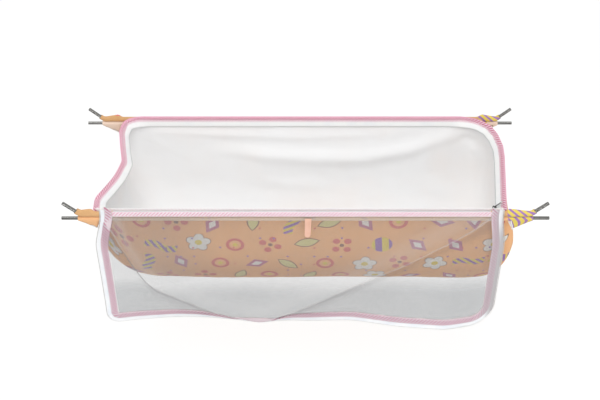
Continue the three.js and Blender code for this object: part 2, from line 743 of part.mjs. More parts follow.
/** The slider: two plates joined by a post, with two ears for the pull. */
function slider(frame) {
  const inside = COIL_WIDTH / 2 + GAP_WIDTH;
  const outside = inside + SLIDER_PLATE_THICKNESS;
  const length = [-SLIDER_LENGTH / 2, SLIDER_LENGTH / 2];
  const post = [inside, inside + SLIDER_POST_WIDTH];
  const middle = inside + SLIDER_POST_WIDTH / 2;
  const width = [middle - SLIDER_WIDTH / 2, middle + SLIDER_WIDTH / 2];
  const ear = (side) => {
    const near = side * (PULL_WIDTH / 2 + GAP_WIDTH);
    const far = side * (PULL_WIDTH / 2 + GAP_WIDTH + EAR_THICKNESS);
    return [[Math.min(near, far), Math.max(near, far)], [0, EAR_LENGTH], [inside, outside + EAR_HEIGHT]];
  };
  return boxes('zip_slider', frame, [
    [length, width, [inside, outside]],
    [length, width, [-outside, -inside]],
    [length, post, [-outside, outside]],
    ear(-1),
    ear(1),
  ]);
}

/** The pull, raised from the slider and pointing out over the rim. */
function pull(frame) {
  const hinge = frame.centre.clone()
    .addScaledVector(frame.across, EAR_LENGTH / 2)
    .addScaledVector(frame.up, COIL_WIDTH / 2 + GAP_WIDTH + SLIDER_PLATE_THICKNESS + EAR_HEIGHT / 2);
  const rise = PULL_RISE_ANGLE * RADIAN;
  const out = frame.across.clone()
    .multiplyScalar(-Math.cos(rise))
    .addScaledVector(frame.up, Math.sin(rise));
  const up = new THREE.Vector3().crossVectors(frame.along, out);
  const turned = { centre: hinge, along: frame.along, across: out, up };
  return boxes('zip_pull', turned, [
    [
      [-PULL_WIDTH / 2, PULL_WIDTH / 2],
      [-PULL_TAIL_LENGTH, PULL_LENGTH],
      [-PULL_THICKNESS / 2, PULL_THICKNESS / 2],
    ],
  ]);
}

// The whole cradle

const leftEnd = endStations(-1).reverse();
const middle = middleStations();
const rightEnd = endStations(1);
const allStations = [...leftEnd, ...middle, ...rightEnd];
const slit = GAP_WIDTH / 2 / seamY / RADIAN;
const whole = sectionAngles(-QUARTER_TURN, QUARTER_TURN);
const shellPanel = (name, stations, angles) => bodyPanel(
  name, PEACH, stations, angles, 0, OUTER_CLOTH_THICKNESS,
);
const tape = tapePath();
const zip = sliderFrame();

const cradle = new THREE.Group();
cradle.name = 'hanging_cradle';
cradle.add(
  shellPanel('body_front_wall', middle, sectionAngles(-QUARTER_TURN, -BASE_EDGE_ANGLE - slit)),
  shellPanel('body_base', middle, sectionAngles(slit - BASE_EDGE_ANGLE, BASE_EDGE_ANGLE - slit)),
  shellPanel('body_back_wall', middle, sectionAngles(BASE_EDGE_ANGLE + slit, QUARTER_TURN)),
  shellPanel('body_left_end', leftEnd, whole),
  shellPanel('body_right_end', rightEnd, whole),
  bodyPanel('body_lining', WHITE, allStations, whole, liningBack, liningFace),
  rail('front_rail', -railY, FRONT_SLIDE_LENGTH),
  rail('back_rail', railY, 0),
  hangerRod('front_hanger_rod', -railY, FRONT_SLIDE_LENGTH),
  hangerRod('back_hanger_rod', railY, 0),
  rodCasing('front_rod_casing', -railY, FRONT_SLIDE_LENGTH),
  rodCasing('back_rod_casing', railY, 0),
  railPocket('front_rail_pocket', -railY, FRONT_SLIDE_LENGTH),
  railPocket('back_rail_pocket', railY, 0),
  frontSeam(),
  rimSeam(),
  rimTape(),
  rimCoil(),
  rimStop('rim_stop_left', tape[0], tape[1]),
  rimStop('rim_stop_right', tape[tape.length - 1], tape[tape.length - 2]),
  coverHeading(netEdge),
  netPanel(netEdge),
  coverHem(netEdge),
  coverStrip('cover_zip_coil', WHITE, 0, COIL_WIDTH, COIL_WIDTH),
  coverStrip('cover_zip_tape', WHITE, COIL_WIDTH + GAP_WIDTH, TAPE_WIDTH, TAPE_THICKNESS),
  coverStrip('cover_seam', PINK, seamEdge, SEAM_WIDTH, SEAM_THICKNESS),
  keeperTab(),
  slider(zip),
  pull(zip),
);

export default cradle;
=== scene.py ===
"""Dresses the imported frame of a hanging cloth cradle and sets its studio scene.

Lengths are in metres in the frame's own axes: X runs along the cradle, -Y is the side that the
net cover hangs over and Z is up.
"""

import json
import logging
import math
from dataclasses import astuple, dataclass, field
from enum import Enum

import bmesh
import bpy
import numpy as np
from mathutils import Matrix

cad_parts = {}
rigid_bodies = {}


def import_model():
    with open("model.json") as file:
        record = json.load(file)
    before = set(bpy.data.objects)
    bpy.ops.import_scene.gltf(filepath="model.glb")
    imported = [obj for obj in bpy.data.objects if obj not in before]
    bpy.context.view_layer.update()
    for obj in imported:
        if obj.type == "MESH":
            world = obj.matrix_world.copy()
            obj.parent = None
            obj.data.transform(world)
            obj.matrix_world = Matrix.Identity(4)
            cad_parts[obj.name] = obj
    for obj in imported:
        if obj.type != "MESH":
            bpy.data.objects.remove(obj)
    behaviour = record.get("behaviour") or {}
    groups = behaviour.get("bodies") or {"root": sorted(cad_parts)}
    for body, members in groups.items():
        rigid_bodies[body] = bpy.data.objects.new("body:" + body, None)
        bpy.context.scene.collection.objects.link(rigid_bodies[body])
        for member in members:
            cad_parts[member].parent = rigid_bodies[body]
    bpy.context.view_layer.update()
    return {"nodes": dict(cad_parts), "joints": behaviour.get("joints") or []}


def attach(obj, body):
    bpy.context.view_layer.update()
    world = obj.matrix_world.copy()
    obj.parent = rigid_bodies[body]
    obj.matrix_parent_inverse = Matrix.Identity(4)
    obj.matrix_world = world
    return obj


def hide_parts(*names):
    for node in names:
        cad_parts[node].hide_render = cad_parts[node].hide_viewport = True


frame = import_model()

Grid = np.ndarray
Axis = tuple[Grid, Grid, Grid]
Colour = tuple[float, float, float, float]
Material = bpy.types.Material
Materials = dict[str, Material]
Object = bpy.types.Object
Socket = bpy.types.NodeSocket

UV_NAME = "cloth"
SHARP_ANGLE = math.radians(50)
TURN = 2 * math.pi
DISPLAY_WHITE = 255
SRGB_KNEE = 10
SRGB_OFFSET = 0.055
SRGB_POWER = 2.4
SRGB_SLOPE = 12.92
RIPPLE_WAVES = 9
RIPPLE_SPREAD = (0.7, 1.5)
STROKE_FADE = 0.25
STROKE_TIP = 0.25
FAR_REACH = 0.02
WEAVE_PITCH = 0.0009
WEAVE_HEIGHT = 0.00015
WEAVE_STRENGTH = 0.6
CLOTH_SPECULAR = 0.2
STRIP_COLUMNS = 7
STRIP_THINNING = 0.55
RIM_ROUNDING = 0.02
TABLE_ROUNDING = 0.03
TABLE_STEPS = 801
DENSE_STEPS = 2000
MOTIF_MATCH = 0.1
LOG = logging.getLogger("cradle")


class Body(Enum):
    """The bodies of the frame."""

    CRADLE = "cradle"
    COVER = "net_cover"
    TAB = "keeper_tab"
    SLIDER = "zip_slider"
    PULL = "zip_pull"


class Slot(Enum):
    """The material slots of the record."""

    PRINT = "printed_cotton"
    LINING = "lining_cotton"
    STEEL = "rod_steel"
    OVERLOCK = "pink_overlock"
    TAPE = "white_tape"
    COIL = "zip_coil"
    METAL = "zip_metal"
    NET = "net"


class Motif(Enum):
    """The motifs of the print, by the number that a cell draws."""

    FLOWER = 0.0
    BALL = 1.0
    KITE = 2.0
    RING = 3.0
    LEAF = 4.0
    BERRIES = 5.0
    RIBBON = 6.0


class End(Enum):
    """The two ends of the cradle, by their sign along X."""

    LEFT = -1
    RIGHT = 1


def paint(red: float, green: float, blue: float) -> Colour:
    """A linear colour from display values of 0 to 255.

    Args:
        red: Display value of red.
        green: Display value of green.
        blue: Display value of blue.

    Returns:
        The linear colour, opaque.
    """
    linear = [
        ((value / DISPLAY_WHITE + SRGB_OFFSET) / (1 + SRGB_OFFSET)) ** SRGB_POWER
        if value > SRGB_KNEE
        else value / DISPLAY_WHITE / SRGB_SLOPE
        for value in (red, green, blue)
    ]
    return (*linear, 1.0)


# Meshes


def grid_normals(grid: Grid) -> Grid:
    """Unit normals of a grid of points.

    Args:
        grid: Points in rows and columns.

    Returns:
        The direction of row step cross column step at each point.
    """
    normals = np.cross(np.gradient(grid, axis=0), np.gradient(grid, axis=1))
    return normals / np.maximum(np.linalg.norm(normals, axis=2, keepdims=True), 1e-12)


def lengths_along(grid: Grid, axis: int) -> Grid:
    """Cloth length from the first row or column of a grid.

    Args:
        grid: Points in rows and columns.
        axis: 0 along the rows, 1 along the columns.

    Returns:
        The length at each point.
    """
    steps = np.linalg.norm(np.diff(grid, axis=axis), axis=2)
    start = np.zeros_like(np.take(steps, [0], axis=axis))
    return np.concatenate([start, np.cumsum(steps, axis=axis)], axis=axis)


def cloth_uv(grid: Grid) -> Grid:
    """Cloth coordinates of a grid in metres, measured from its middle row and column.

    Args:
        grid: Points in rows and columns.

    Returns:
        Two lengths at each point.
    """
    along, across = lengths_along(grid, 0), lengths_along(grid, 1)
    along = along - along[len(along) // 2]
    across = across - across[:, [across.shape[1] // 2]]
    return np.stack([along, across], axis=2)


def path_lengths(points: Grid) -> Grid:
    """Length of a path up to each of its points."""
    return np.concatenate([[0], np.cumsum(np.linalg.norm(np.diff(points, axis=0), axis=1))])


def smooth_step(share: Grid) -> Grid:
    """A smooth step from 0 to 1 over shares from 0 to 1."""
    share = np.clip(share, 0, 1)
    return share * share * (3 - 2 * share)


def bell(values: Grid, place: Grid | float, width: float) -> Grid:
    """How near values lie to a place: 1 at it, a third at the width."""
    return np.exp(-(((values - place) / width) ** 2))


def ring_angles(sides: int) -> Grid:
    """Angles round a ring whose outward side is the upper side of a sheet."""
    return -TURN * np.arange(sides) / sides


def place_object(name: str, data: bpy.types.ID) -> Object:
    """An object in the scene.

    Args:
        name: Name of the object.
        data: Its mesh, lamp or camera.

    Returns:
        The object.
    """
    made = bpy.data.objects.new(name, data)
    bpy.context.scene.collection.objects.link(made)
    return made


def smooth_object(name: str, mesh: bpy.types.Mesh) -> Object:
    """An object that is smooth but for its sharp edges.

    Args:
        name: Name of the object.
        mesh: Its mesh.

    Returns:
        The object.
    """
    mesh.shade_smooth()
    mesh.set_sharp_from_angle(angle=SHARP_ANGLE)
    return place_object(name, mesh)


def mesh_object(name: str, points: Grid, faces: Grid, uv: Grid) -> Object:
    """An object from points, four-cornered faces and a place on the cloth for each corner.

    Args:
        name: Name of the object.
        points: Points of the mesh.
        faces: Corner numbers of each face.
        uv: Place on the cloth of each corner of each face.

    Returns:
        The object, smooth but for its sharp edges.
    """
    mesh = bpy.data.meshes.new(name)
    mesh.from_pydata(points.tolist(), [], faces.tolist())
    layer = mesh.uv_layers.new(name=UV_NAME)
    layer.data.foreach_set("uv", uv.astype(np.float32).ravel())
    return smooth_object(name, mesh)


def sheet_object(name: str, upper: Grid, lower: Grid, uv: Grid, wrap: bool = False) -> Object:
    """A closed sheet between two grids of points.

    Args:
        name: Name of the object.
        upper: Points of the side that the grid's normals leave from.
        lower: Points of the other side.
        uv: Places on the cloth, with one more column than the points where the sheet wraps.
        wrap: Whether the last column joins the first one.

    Returns:
        The object.
    """
    rows, columns = upper.shape[:2]
    top = np.arange(rows * columns).reshape(rows, columns)
    if wrap:
        top = np.concatenate([top, top[:, :1]], axis=1)
    low = top + rows * columns
    place = np.arange(uv.shape[0] * uv.shape[1]).reshape(uv.shape[:2])
    loops = []
    for t, b, pick in ((top, low, False), (place, place, True)):
        parts = [
            [t[:-1, :-1], t[1:, :-1], t[1:, 1:], t[:-1, 1:]],
            [b[:-1, :-1], b[:-1, 1:], b[1:, 1:], b[1:, :-1]],
            [t[0, :-1], t[0, 1:], b[0, 1:], b[0, :-1]],
            [t[-1, 1:], t[-1, :-1], b[-1, :-1], b[-1, 1:]],
        ]
        if not wrap:
            parts += [
                [t[1:, 0], t[:-1, 0], b[:-1, 0], b[1:, 0]],
                [t[:-1, -1], t[1:, -1], b[1:, -1], b[:-1, -1]],
            ]
        loops.append(np.concatenate([np.stack([c.ravel() for c in part], axis=1) for part in parts]))
    points = np.concatenate([upper.reshape(-1, 3), lower.reshape(-1, 3)])
    return mesh_object(name, points, loops[0], uv.reshape(-1, 2)[loops[1]])


def tube_object(name: str, outer: Grid, inner: Grid) -> Object:
    """An open-ended tube through rings of points.

    Args:
        name: Name of the object.
        outer: Rings of the outer face.
        inner: Rings of the inner face.

    Returns:
        The object.
    """
    closed = np.concatenate([outer, outer[:, :1]], axis=1)
    return sheet_object(name, outer, inner, cloth_uv(closed), wrap=True)


def closed_object(name: str, rings: Grid) -> Object:
    """A solid through rings that shrinks to a point at both ends.

    Args:
        name: Name of the object.
        rings: Rings of points.

    Returns:
        The object.
    """
    ends = [np.repeat(rings[i].mean(axis=0)[None], rings.shape[1], axis=0) for i in (0, -1)]
    whole = np.concatenate([ends[0][None], rings, ends[1][None]])
    closed = np.concatenate([whole, whole[:, :1]], axis=1)
    made = sheet_object(name, whole, whole, cloth_uv(closed), wrap=True)
    work = bmesh.new()
    work.from_mesh(made.data)
    work.verts.ensure_lookup_table()
    count = whole.shape[0] * whole.shape[1]
    bmesh.ops.delete(work, geom=work.verts[count:], context="VERTS")
    bmesh.ops.remove_doubles(work, verts=work.verts, dist=1e-7)
    bmesh.ops.dissolve_degenerate(work, edges=work.edges, dist=1e-8)
    bmesh.ops.recalc_face_normals(work, faces=work.faces)
    work.to_mesh(made.data)
    work.free()
    return made


def smooth_table(table: tuple, width: float) -> tuple[Grid, Grid]:
    """A table of pairs from -1 to 1, drawn finely and rounded at its corners.

    Args:
        table: Pairs of place and value.
        width: Width of the rounding, as a share of the table.

    Returns:
        Places and values.
    """
    places = np.linspace(-1, 1, TABLE_STEPS)
    values = np.interp(places, *np.array(table).T)
    reach = int(3 * width / (places[1] - places[0]))
    kernel = np.exp(-0.5 * (np.arange(-reach, reach + 1) / (reach / 3)) ** 2)
    padded = np.pad(values, reach, mode="reflect", reflect_type="odd")
    return places, np.convolve(padded, kernel / kernel.sum(), mode="valid")


def even_steps(curve: Grid, places: Grid, count: int) -> Grid:
    """Places along a curve at even steps of its length.

    Args:
        curve: Points of the curve.
        places: The place of each point.
        count: Number of places wanted.

    Returns:
        The places.
    """
    steps = path_lengths(curve)
    return np.interp(np.linspace(0, steps[-1], count), steps, places)


def ripple(points: Grid, length: float, seed: int) -> Grid:
    """Soft random waves from -1 to 1 over points in space.

    Args:
        points: Where the waves are read.
        length: Mean wave length.
        seed: Seed of the waves.

    Returns:
        The height at each point.
    """
    draw = np.random.default_rng(seed)
    total = np.zeros(points.shape[:-1])
    for _ in range(RIPPLE_WAVES):
        way = draw.normal(size=3)
        way *= TURN / (length * draw.uniform(*RIPPLE_SPREAD) * np.linalg.norm(way))
        total += np.sin(points @ way + draw.uniform(0, TURN))
    return total * 2 / RIPPLE_WAVES


def stroke(points: Grid, line: tuple, width: float) -> Grid:
    """How near points lie to a line of points, from 1 on it to 0 away from it.

    Args:
        points: Points in space.
        line: Points of the line.
        width: Distance at which the value has fallen to a third.

    Returns:
        The value at each point, faded towards both ends of the line.
    """
    ends = np.array(line, float)
    sizes = np.linalg.norm(np.diff(ends, axis=0), axis=1)
    starts = path_lengths(ends)
    nearest = np.full(points.shape[:-1], np.inf)
    place = np.zeros(points.shape[:-1])
    for i, size in enumerate(sizes):
        way = ends[i + 1] - ends[i]
        share = np.clip(((points - ends[i]) @ way) / size**2, 0, 1)
        distance = np.linalg.norm(points - ends[i] - share[..., None] * way, axis=-1)
        place = np.where(distance < nearest, (starts[i] + share * size) / starts[-1], place)
        nearest = np.minimum(nearest, distance)
    fade = smooth_step(np.minimum(place, 1 - place) / STROKE_FADE)
    return bell(nearest, 0.0, width) * (STROKE_TIP + (1 - STROKE_TIP) * fade)


# Nodes


class Field:
    """A number given by a node, with arithmetic that adds Math nodes."""

    def __init__(self, board: "Board", socket: Socket) -> None:
        """Keeps the board and the socket."""
        self.board = board
        self.socket = socket

    def do(self, operation: str, *others: "Field | float") -> "Field":
        """The outcome of a Math node that starts with this number."""
        return self.board.math(operation, self, *others)

    def __add__(self, other: "Field | float") -> "Field":
        """The sum."""
        return self.do("ADD", other)

    def __sub__(self, other: "Field | float") -> "Field":
        """The difference."""
        return self.do("SUBTRACT", other)

    def __mul__(self, other: "Field | float") -> "Field":
        """The product."""
        return self.do("MULTIPLY", other)

    def __truediv__(self, other: "Field | float") -> "Field":
        """The quotient."""
        return self.do("DIVIDE", other)

    def rising(self, low: float, high: float) -> "Field":
        """A smooth step from 0 at low to 1 at high."""
        made = self.board.node(
            "ShaderNodeMapRange",
            {"Value": self, "From Min": low, "From Max": high},
            interpolation_type="SMOOTHSTEP",
        )
        return Field(self.board, made.outputs["Result"])


class Board:
    """The node board of one material or world."""

    def __init__(self, name: str, owner: bpy.types.World | None = None) -> None:
        """Starts an empty board for a new material, or for the world that is given."""
        self.owner = owner or bpy.data.materials.new(name)
        self.owner.use_nodes = True
        self.tree = self.owner.node_tree
        self.tree.nodes.clear()

    def feed(self, socket: Socket, value: object) -> None:
        """Links a field or socket to an input, or sets a plain value on it."""
        if isinstance(value, Field):
            value = value.socket
        if isinstance(value, Socket):
            self.tree.links.new(value, socket)
        else:
            socket.default_value = value

    def node(self, kind: str, inputs: dict | None = None, **settings: object) -> bpy.types.Node:
        """Adds a node.

        Args:
            kind: Blender's name of the node's type.
            inputs: Values, fields or sockets by input name or number.
            **settings: Properties of the node.

        Returns:
            The node.
        """
        made = self.tree.nodes.new(kind)
        for key, value in settings.items():
            setattr(made, key, value)
        for key, value in (inputs or {}).items():
            self.feed(made.inputs[key], value)
        return made

    def math(self, operation: str, *values: "Field | float") -> Field:
        """A Math node's outcome."""
        made = self.node("ShaderNodeMath", dict(enumerate(values)), operation=operation)
        return Field(self, made.outputs[0])

    def cloth_place(self) -> tuple[Field, Field]:
        """The two cloth coordinates, in metres."""
        uv = self.node("ShaderNodeUVMap", uv_map=UV_NAME)
        split = self.node("ShaderNodeSeparateXYZ", {0: uv.outputs["UV"]})
        return Field(self, split.outputs[0]), Field(self, split.outputs[1])

    def object_place(self) -> Socket:
        """The object coordinates."""
        return self.node("ShaderNodeTexCoord").outputs["Object"]

    def beyond(self, place: float, reach: float) -> Field:
        """A step from 0 to 1 beyond a place along the cradle."""
        split = self.node("ShaderNodeSeparateXYZ", {0: self.object_place()})
        return Field(self, split.outputs[0]).rising(place, place + reach)

    def attribute(self, name: str) -> Field:
        """A number that the mesh carries."""
        return Field(self, self.node("ShaderNodeAttribute", attribute_name=name).outputs["Fac"])

    def noise(self, scale: float, detail: float = 2.0, place: object = None) -> Field:
        """Noise from 0 to 1 over a place, or else over the object coordinates."""
        inputs = {"Vector": place or self.object_place(), "Scale": scale, "Detail": detail}
        return Field(self, self.node("ShaderNodeTexNoise", inputs).outputs["Fac"])

    def mix(self, share: "Field | float", first: object, second: object) -> Socket:
        """A colour between two colours."""
        made = self.node("ShaderNodeMix", {0: share, 6: first, 7: second}, data_type="RGBA")
        return made.outputs[2]

    def bump(self, height: Field, distance: float, strength: float) -> Socket:
        """A normal bent by a height."""
        inputs = {"Height": height, "Distance": distance, "Strength": strength}
        return self.node("ShaderNodeBump", inputs).outputs["Normal"]

    def weave(self, pitch: float) -> Field:
        """Height of a plain weave over the cloth coordinates."""
        along, across = self.cloth_place()
        turns = TURN / pitch
        return (along * turns).do("SINE") * (across * turns).do("SINE")

    def finish(self, **inputs: object) -> Material:
        """Ends the board in a Principled shader.

        Args:
            **inputs: Input names with underscores for spaces, and their values.

        Returns:
            The material.
        """
        named = {key.replace("_", " "): value for key, value in inputs.items()}
        shader = self.node("ShaderNodeBsdfPrincipled", named)
        self.node("ShaderNodeOutputMaterial", {"Surface": shader.outputs[0]})
        return self.owner

    def finish_cloth(self, colour: object, rough: Field, height: Field, sheen: float) -> Material:
        """Ends the board as woven cloth."""
        normal = self.bump(height, WEAVE_HEIGHT, WEAVE_STRENGTH)
        return self.finish(
            Base_Color=colour, Roughness=rough, Normal=normal, Sheen_Weight=sheen,
            Specular_IOR_Level=CLOTH_SPECULAR,
        )


# Finishes


@dataclass(frozen=True)
class PrintedCotton:
    """Peach cotton with a scattered print of flowers, balls, kites, rings, leaves, berries and ribbons."""

    name: str = "printed_cotton"
    ground: Colour = paint(253, 194, 140)
    white: Colour = paint(246, 244, 240)
    yellow: Colour = paint(236, 214, 92)
    purple: Colour = paint(158, 116, 190)
    mauve: Colour = paint(200, 126, 156)
    rose: Colour = paint(226, 120, 116)
    leaf: Colour = paint(228, 220, 156)
    line: Colour = paint(150, 112, 98)
    wear_and_highlight: Colour = paint(248, 210, 176)
    sunlit: Colour = paint(255, 234, 210)
    cell_width: float = 0.084
    cell_height: float = 0.068
    jitter: tuple[float, float] = (0.016, 0.014)
    motif_size: float = 0.029
    motif_kinds: float = 6.999
    stripe_edge: float = 0.15
    dot_spacing: float = 0.031
    dot_share: float = 0.28
    stripe_width: float = 0.0185
    stripe_lean: float = 1.0
    worn_share: float = 0.16
    worn_scale: float = 14.0
    sunlit_share: float = 0.85
    sunlit_fade: float = 0.02
    roughness: float = 0.82
    striped_from: float | None = None
    sunlit_within: float | None = None
    dot_seed: float = 7.0
    dot_edges: tuple[float, float] = (0.1, 0.07)
    dot_split: float = 0.13
    stripe_levels: tuple[float, float] = (0.2, 0.34)
    stripe_reach: float = 0.004
    rough_scale: float = 40.0
    rough_share: float = 0.1
    sheen: float = 0.15

    def motifs(self, board: Board, along: Field, across: Field) -> Socket:
        """The ground with its large motifs.

        Args:
            board: Node board of the material.
            along: Cloth coordinate along the cradle.
            across: Cloth coordinate across it.

        Returns:
            The colour.
        """
        row = (across / self.cell_height).do("FLOOR")
        shifted = along / self.cell_width + row.do("MODULO", 2.0).do("ABSOLUTE") * 0.5
        column = shifted.do("FLOOR")
        cell = board.node("ShaderNodeCombineXYZ", {0: column, 1: row})
        draws = board.node("ShaderNodeTexWhiteNoise", {"Vector": cell.outputs[0]}, noise_dimensions="2D")
        split = board.node("ShaderNodeSeparateColor", {0: draws.outputs["Color"]})
        pick, turn, shift = (Field(board, socket) for socket in split.outputs)
        x0 = (shifted - column - 0.5) * self.cell_width + (shift - 0.5) * self.jitter[0]
        y0 = (across / self.cell_height - row - 0.5) * self.cell_height + (turn - 0.5) * self.jitter[1]
        angle = turn * TURN
        cos, sin = angle.do("COSINE"), angle.do("SINE")
        size = self.motif_size
        x, y = (x0 * cos + y0 * sin) / size, (y0 * cos - x0 * sin) / size
        radius = (x * x + y * y).do("SQRT")
        theta = y.do("ARCTAN2", x)
        kind = (pick * self.motif_kinds).do("FLOOR")
        edge = self.stripe_edge
        wide, high = x.do("ABSOLUTE"), y.do("ABSOLUTE")
        petals = radius - ((theta * 2.5).do("COSINE").do("ABSOLUTE") * 0.34 + 0.62)
        stripes, slanted = (
            board.mix(wave.do("SINE").rising(-edge, edge), self.yellow, self.purple)
            for wave in ((x + y * 0.5) * 5.2, (x - y) * 9.0)
        )
        kite = wide / 0.62 + high / 1.05
        ring = (radius - 0.6).do("ABSOLUTE")
        blade = high - (x * x * -0.45 + 0.42)
        berries = ((wide - 0.45).do("POWER", 2.0) + (high - 0.45).do("POWER", 2.0)).do("SQRT")
        ribbon = (y - (x * 3.0).do("SINE") * 0.14).do("ABSOLUTE")
        layers = (
            (Motif.FLOWER, petals.rising(0.09, 0.05), self.line),
            (Motif.FLOWER, petals.rising(0.03, -0.02), self.white),
            (Motif.FLOWER, radius.rising(0.3, 0.26), self.yellow),
            (Motif.BALL, radius.rising(0.84, 0.8), stripes),
            (Motif.KITE, kite.rising(1.0, 0.94), self.mauve),
            (Motif.KITE, kite.rising(0.5, 0.45), self.white),
            (Motif.RING, ring.rising(0.16, 0.11), self.rose),
            (Motif.RING, radius.rising(0.22, 0.17), self.yellow),
            (Motif.LEAF, blade.rising(0.09, 0.05), self.line),
            (Motif.LEAF, blade.rising(0.0, -0.05), self.leaf),
            (Motif.BERRIES, berries.rising(0.32, 0.27), self.rose),
            (Motif.BERRIES, radius.rising(0.2, 0.16), self.line),
            (Motif.RIBBON, ribbon.rising(0.4, 0.36) * wide.rising(1.3, 1.26), slanted),
        )
        colour: object = self.ground
        for motif, mask, shade in layers:
            colour = board.mix(mask * kind.do("COMPARE", motif.value, MOTIF_MATCH), colour, shade)
        return colour

    def dots(self, board: Board, along: Field, across: Field, colour: object) -> Socket:
        """Adds the small dots between the motifs.

        Args:
            board: Node board of the material.
            along: Cloth coordinate along the cradle.
            across: Cloth coordinate across it.
            colour: Colour under the dots.

        Returns:
            The colour.
        """
        u, v = along / self.dot_spacing, across / self.dot_spacing
        column, row = u.do("FLOOR"), v.do("FLOOR")
        cell = board.node("ShaderNodeCombineXYZ", {0: column, 1: row, 2: self.dot_seed})
        draws = board.node("ShaderNodeTexWhiteNoise", {"Vector": cell.outputs[0]}, noise_dimensions="3D")
        draw = Field(board, draws.outputs["Value"])
        x, y = u - column - 0.5, v - row - 0.5
        radius = (x * x + y * y).do("SQRT")
        shade = board.mix(draw.rising(self.dot_split, self.dot_split + 0.01), self.purple, self.rose)
        dotted = draw.rising(self.dot_share, self.dot_share - 0.02)
        return board.mix(radius.rising(*self.dot_edges) * dotted, colour, shade)

    def material(self) -> Material:
        """The printed cotton, striped beyond one place and with a painted highlight near the middle where
        that is set.
        """
        board = Board(self.name)
        along, across = board.cloth_place()
        colour = self.dots(board, along, across, self.motifs(board, along, across))
        if self.striped_from is not None:
            bands = ((along + across * self.stripe_lean) * (TURN / self.stripe_width)).do("SINE")
            shade = board.mix(bands.rising(*self.stripe_levels), self.yellow, self.purple)
            colour = board.mix(board.beyond(self.striped_from, self.stripe_reach), colour, shade)
        # Painted highlight: away from both ends the cloth is mixed towards the sunlit colour.
        if self.sunlit_within is not None:
            place = board.node("ShaderNodeSeparateXYZ", {0: board.object_place()})
            distance = Field(board, place.outputs[0]).do("ABSOLUTE")
            near = distance.rising(self.sunlit_within, self.sunlit_within - self.sunlit_fade)
            colour = board.mix(near * self.sunlit_share, colour, self.sunlit)
        wear_and_highlight = board.mix(board.noise(self.worn_scale) * self.worn_share, colour, self.wear_and_highlight)
        rough = board.noise(self.rough_scale) * self.rough_share + self.roughness
        return board.finish_cloth(wear_and_highlight, rough, board.weave(WEAVE_PITCH), self.sheen)


@dataclass(frozen=True)
class PlainCloth:
    """A plain woven cloth with faint cloudy tints."""

    name: str
    shade: Colour
    tint: Colour
    tint_share: float = 0.5
    tint_scale: float = 6.0
    rib_pitch: float = 0.0
    roughness: float = 0.85
    far_painted_shade: Colour | None = None
    far_from: float = 0.0
    tint_levels: tuple[float, float] = (0.4, 0.75)
    rib_weave: float = 0.4
    rough_scale: float = 60.0
    rough_share: float = 0.12
    sheen: float = 0.1

    def material(self) -> Material:
        """The cloth's material."""
        board = Board(self.name)
        clouds = board.noise(self.tint_scale, 3.0).rising(*self.tint_levels)
        colour = board.mix(clouds * self.tint_share, self.shade, self.tint)
        # Painted shade: beyond a place along the cradle the colour turns darker, over the cover's right end.
        if self.far_painted_shade:
            colour = board.mix(board.beyond(self.far_from, FAR_REACH), colour, self.far_painted_shade)
        height = board.weave(WEAVE_PITCH)
        if self.rib_pitch:
            across = board.cloth_place()[1]
            height = height * self.rib_weave + (across * (TURN / self.rib_pitch)).do("SINE")
        rough = board.noise(self.rough_scale) * self.rough_share + (self.roughness - self.rough_share / 2)
        return board.finish_cloth(colour, rough, height, self.sheen)


@dataclass(frozen=True)
class ThreadFinish:
    """Polyester thread in two shades that take turns along an edge."""

    name: str
    first: Colour
    second: Colour
    far_painted_shade: Colour | None = None
    far_from: float = 0.0
    far_share: float = 0.7
    fuzz: Colour = paint(255, 240, 244)
    fuzz_scale: float = 900.0
    fuzz_share: float = 0.12
    fuzz_bump: tuple[float, float] = (0.0002, 0.5)
    roughness: float = 0.6
    rough_share: float = 0.2
    sheen: float = 0.2

    def material(self) -> Material:
        """The thread's material."""
        board = Board(self.name)
        colour = board.mix(board.attribute("shade"), self.first, self.second)
        # Painted shade: beyond a place along the cradle the threads turn partly darker, over the cover's
        # right end.
        if self.far_painted_shade:
            painted_shade_share = board.beyond(self.far_from, FAR_REACH) * self.far_share
            colour = board.mix(painted_shade_share, colour, self.far_painted_shade)
        fuzz = board.noise(self.fuzz_scale)
        colour = board.mix(fuzz * self.fuzz_share, colour, self.fuzz)
        normal = board.bump(fuzz, *self.fuzz_bump)
        rough = fuzz * self.rough_share + self.roughness
        return board.finish(Base_Color=colour, Roughness=rough, Sheen_Weight=self.sheen, Normal=normal)


